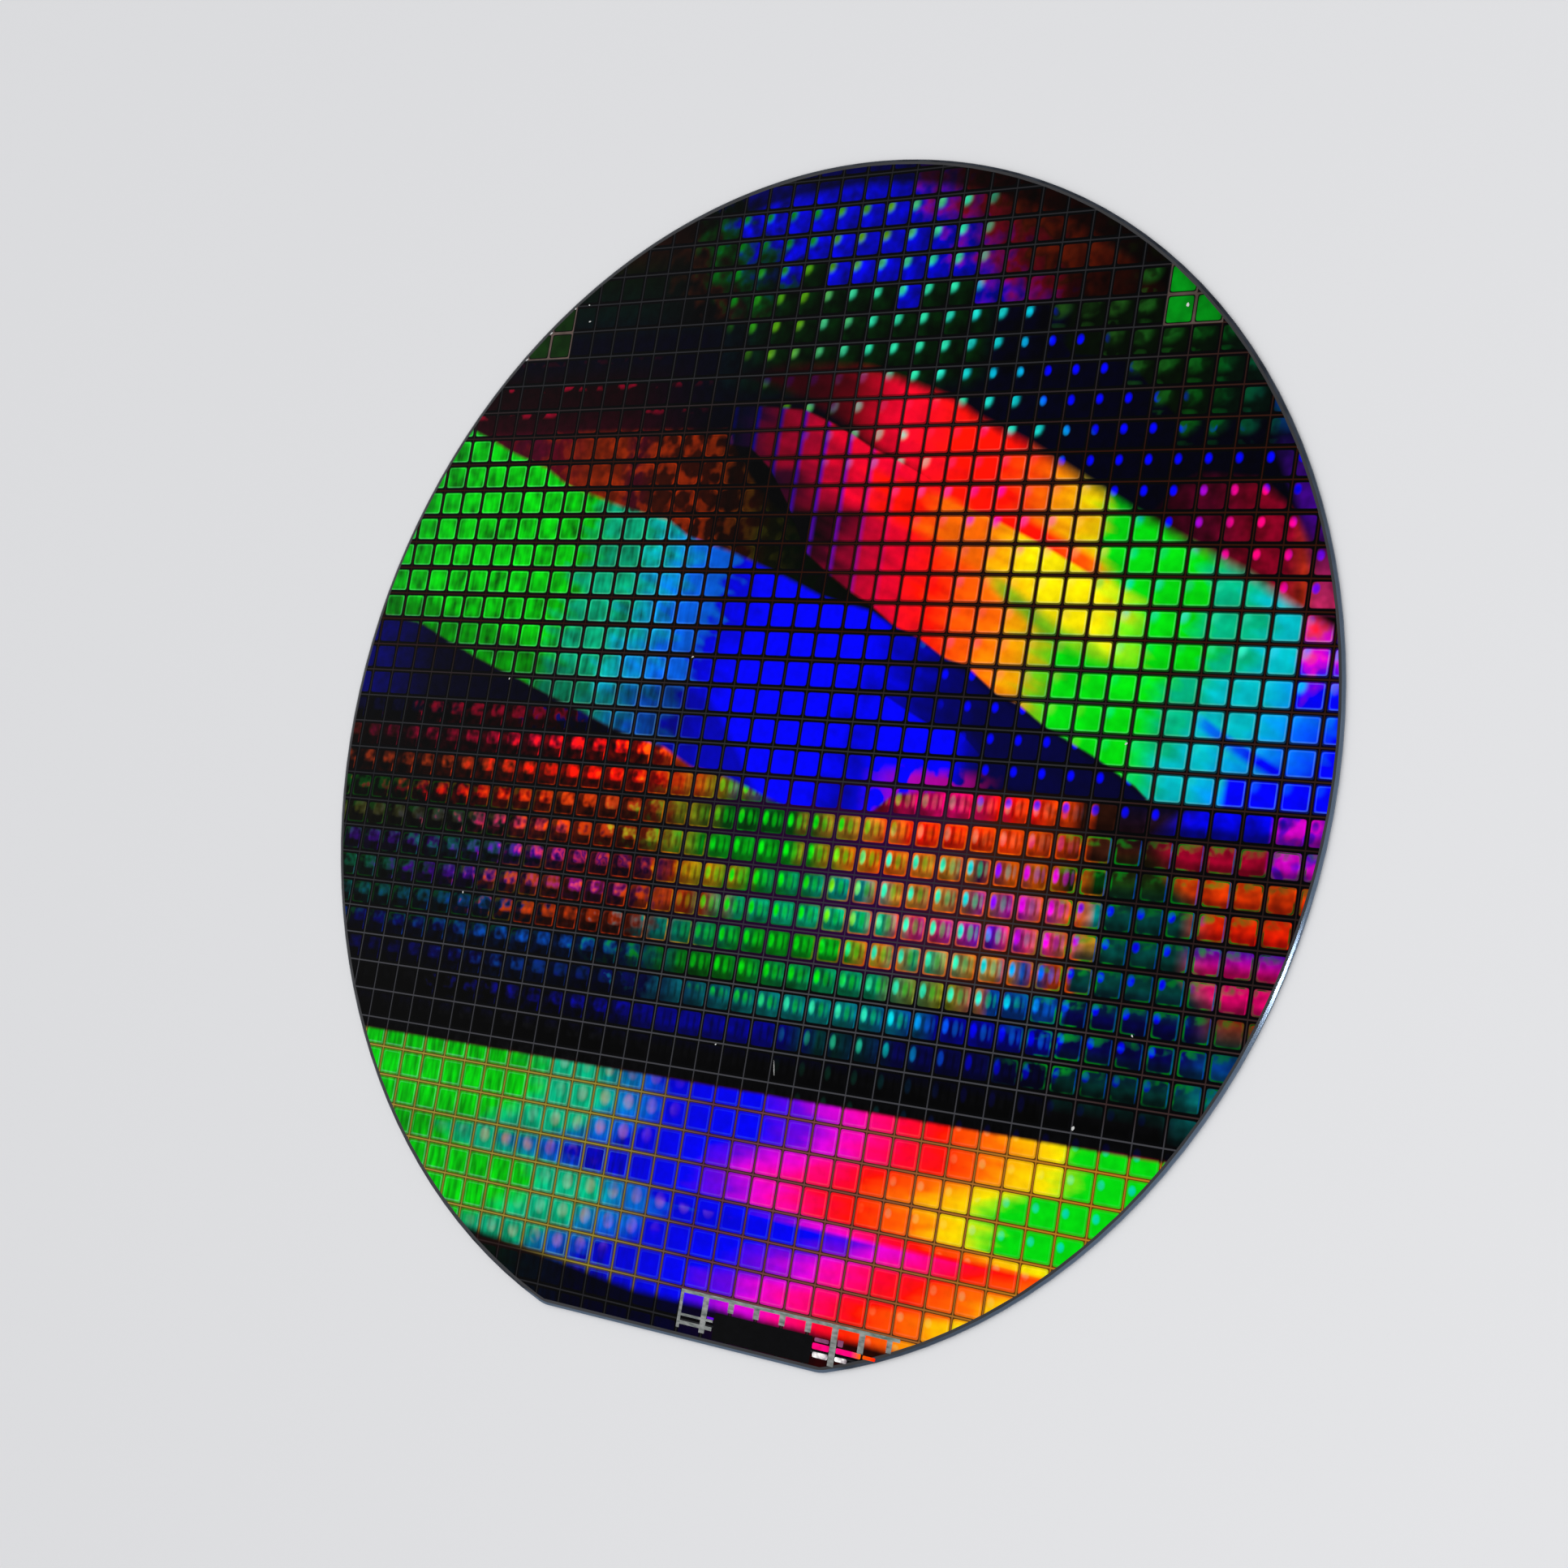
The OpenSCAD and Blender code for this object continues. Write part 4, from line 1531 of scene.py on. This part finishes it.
def finish_bars(name, bars, finish):
    """Joins drawn bars into one piece and brings it to metres."""
    select_only(*bars)
    bpy.ops.object.join()
    bpy.context.object.scale = (MM, MM, MM)
    bpy.ops.object.transform_apply(location=True, rotation=True, scale=True)
    return finish_piece(name, [bpy.context.object], finish)


# %% Metal of the rail
rail_metal, rail_shader = start_material("rail_metal")
rail_across, rail_down = grid_place()
rail_cloud = noise(rail_across, times(rail_down, 3.0), 2.5, 2.0)
rail_light = over((0.07, 0.06, 0.065, 1), (0.34, 0.32, 0.32, 1), rail_cloud)
rail_fade = colours(rail_down, [(20.0, "ice"), (20.12, "mint", 0.6), (20.2, "ice", 0.5), (21.4, "ice", 0.4)])
wire(over(rail_light, rail_fade, 0.12), rail_shader.inputs["Base Color"])
wire(scaled(rail_cloud, 0.15, 0.28), rail_shader.inputs["Roughness"])
rail_shader.inputs["Metallic"].default_value = 0.7

# %% Rail
# Levels are in millimetres above the face. A tooth is its left and right side and its end, in chips.
RAIL = (0.002, 0.012)
TOOTH = (0.0015, 0.010)
RAIL_TOP, RAIL_LOW = 20.03, 20.14
TEETH = [(i - 0.11, i + 0.11, 20.46) for i in (2, 3, 4, 5)]
TEETH += [
    (5.89, 6.12, 21.33), (6.89, 7.11, 20.74), (7.90, 8.09, 20.52), (-0.03, 0.09, 21.27),
    (0.89, 1.11, 21.28),
]
rail_bars = [bar(RAIL, -0.03, 8.35, RAIL_TOP, RAIL_LOW)]
rail_bars += [bar(TOOTH, left, right, RAIL_LOW, end) for left, right, end in TEETH]
rail_bars += [bar(RAIL, 0.05, 1.38, top, low, 0.03) for top, low in ((20.80, 20.88), (21.03, 21.15))]
finish_bars("test_rail", rail_bars, rail_metal)
print("rail with", len(rail_bars), "bars")


# %% Code plate
def grain_of(scale):
    """A fine grain in the solid, by its number of grains in a metre."""
    place = tree.nodes.new("ShaderNodeTexCoord")
    grain = tree.nodes.new("ShaderNodeTexNoise")
    grain.inputs["Scale"].default_value = scale
    wire(place.outputs["Object"], grain.inputs["Vector"])
    return grain.outputs[0]


plate_black, plate_shader = start_material("plate_black")
plate_grain = grain_of(900.0)
plate_colour = over((0.001, 0.001, 0.001, 1), (0.003, 0.003, 0.004, 1), plate_grain)
wire(plate_colour, plate_shader.inputs["Base Color"])
plate_shader.inputs["Roughness"].default_value = 0.4
plate_shader.inputs["Specular IOR Level"].default_value = 0.03
finish_bars("code_plate", [bar((0.002, 0.006), 1.43, 5.22, 20.54, 21.40, 0.2)], plate_black)

# %% Loose bars
bar_film, film_shader = start_material("bar_film")
film_across, film_down = grid_place()
film_cloud = noise(film_across, film_down, 4.0, 2.0)
pink_part = colours(
    film_across,
    [(1, "violet"), (1.5, "violet"), (5.2, "pink"), (6.7, "pink"), (7.0, "orange"), (7.6, "red")],
)
silver_part = over((0.30, 0.24, 0.28, 1), (0.95, 0.93, 0.90, 1), film_cloud)
mauve_part = dim(written("mauve"), 1.3)
film_colour = over(mauve_part, pink_part, soft_step(film_down, 20.70, 20.72))
film_colour = over(film_colour, silver_part, soft_step(film_down, 20.96, 20.98))
wire(dim(film_colour, scaled(film_cloud, 0.5, 0.75)), film_shader.inputs["Base Color"])
film_gloss(film_shader)
film_shader.inputs["Roughness"].default_value = 0.3
FILM = (0.002, 0.009)
# Left, right, top and bottom in chips, and the rounding of the corners in millimetres.
LOOSE = [
    (5.25, 5.88, 20.73, 20.92, 0.2),
    (6.13, 7.05, 20.73, 20.90, 0.2),
    (7.12, 7.58, 20.76, 20.87, 0.15),
    (5.30, 5.88, 21.00, 21.17, 0.25),
    (6.13, 6.58, 21.00, 21.14, 0.25),
    (5.30, 5.84, 20.56, 20.68, 0.2),
    (6.16, 6.36, 20.42, 20.68, 0.2),
    (1.13, 1.40, 20.72, 20.79, 0.1),
]
loose_bars = [bar(FILM, *place) for place in LOOSE]
finish_bars("loose_bars", loose_bars, bar_film)
print(len(loose_bars), "loose bars")

# %% [markdown]
# ## Dust and marks
#
# A wafer on show collects dust. A few flakes lie on the chips, and small bright marks sit at the edge
# beside the left alignment cells. A flake is a thin seven-sided disc, pulled out of round, and every
# copy is turned and stretched in its own way.

# %% Flake and marks
dust_white, dust_shader = start_material("dust_white")
fluff = grain_of(2500.0)
wire(over((0.30, 0.31, 0.31, 1), (0.85, 0.85, 0.82, 1), fluff), dust_shader.inputs["Base Color"])
dust_shader.inputs["Roughness"].default_value = 0.9
FLAKE_LOW, FLAKE_HIGH = 0.0200, 0.0215
# Place across and down in chips, half width and half length in millimetres, turn in degrees.
FLAKES = [
    (-3.95, -0.95, 0.3, 0.16, 20),
    (-12.1, 0.12, 0.24, 0.16, 70),
    (12.9, 1.2, 0.3, 0.2, 40),
    (-12.5, 8.05, 0.26, 0.18, 110),
    (-11.28, -13.38, 0.3, 0.16, 10),
    (-11.45, -14.02, 0.22, 0.14, 0),
    (-12.08, -13.92, 0.22, 0.18, 60),
    (-13.05, -13.02, 0.42, 0.16, 35),
    (-14.03, -12.04, 0.42, 0.15, 35),
    (12.75, -12.62, 0.3, 0.42, 0),
    (13.05, 12.85, 0.4, 0.3, 75),
    (-0.3, 12.05, 0.2, 0.14, 45),
    (14.5, 9.9, 0.24, 0.15, 130),
    (2.15, 12.55, 0.07, 1.55, 12),
]
bpy.ops.object.select_all(action="DESELECT")
bpy.ops.mesh.primitive_circle_add(vertices=7, radius=1.0, fill_type="NGON")
flake = bpy.context.object
edit(flake, "VERT", lambda vert: vert.co.x > 0.7 or vert.co.y < -0.8)
bpy.ops.transform.resize(value=(0.72, 0.66, 1))
bpy.ops.mesh.select_all(action="SELECT")
bpy.ops.mesh.extrude_region_move(TRANSFORM_OT_translate={"value": (0, 0, FLAKE_HIGH - FLAKE_LOW)})
bpy.ops.mesh.select_all(action="SELECT")
bpy.ops.mesh.normals_make_consistent(inside=False)
stop_edit()
flake_mesh = flake.data
bpy.data.objects.remove(flake)
flakes = []
for i, j, half_width, half_length, turned in FLAKES:
    copy = bpy.data.objects.new("flake", flake_mesh.copy())
    lay = Matrix.Translation((place_x(i) / MM, place_y(j) / MM, THICKNESS + FLAKE_LOW))
    lay = lay @ Matrix.Rotation(math.radians(turned), 4, "Z")
    copy.data.transform(lay @ Matrix.Diagonal((half_width, half_length, 1, 1)))
    bpy.context.scene.collection.objects.link(copy)
    flakes.append(copy)
finish_bars("dust", flakes, dust_white)
print(len(flakes), "flakes of dust")
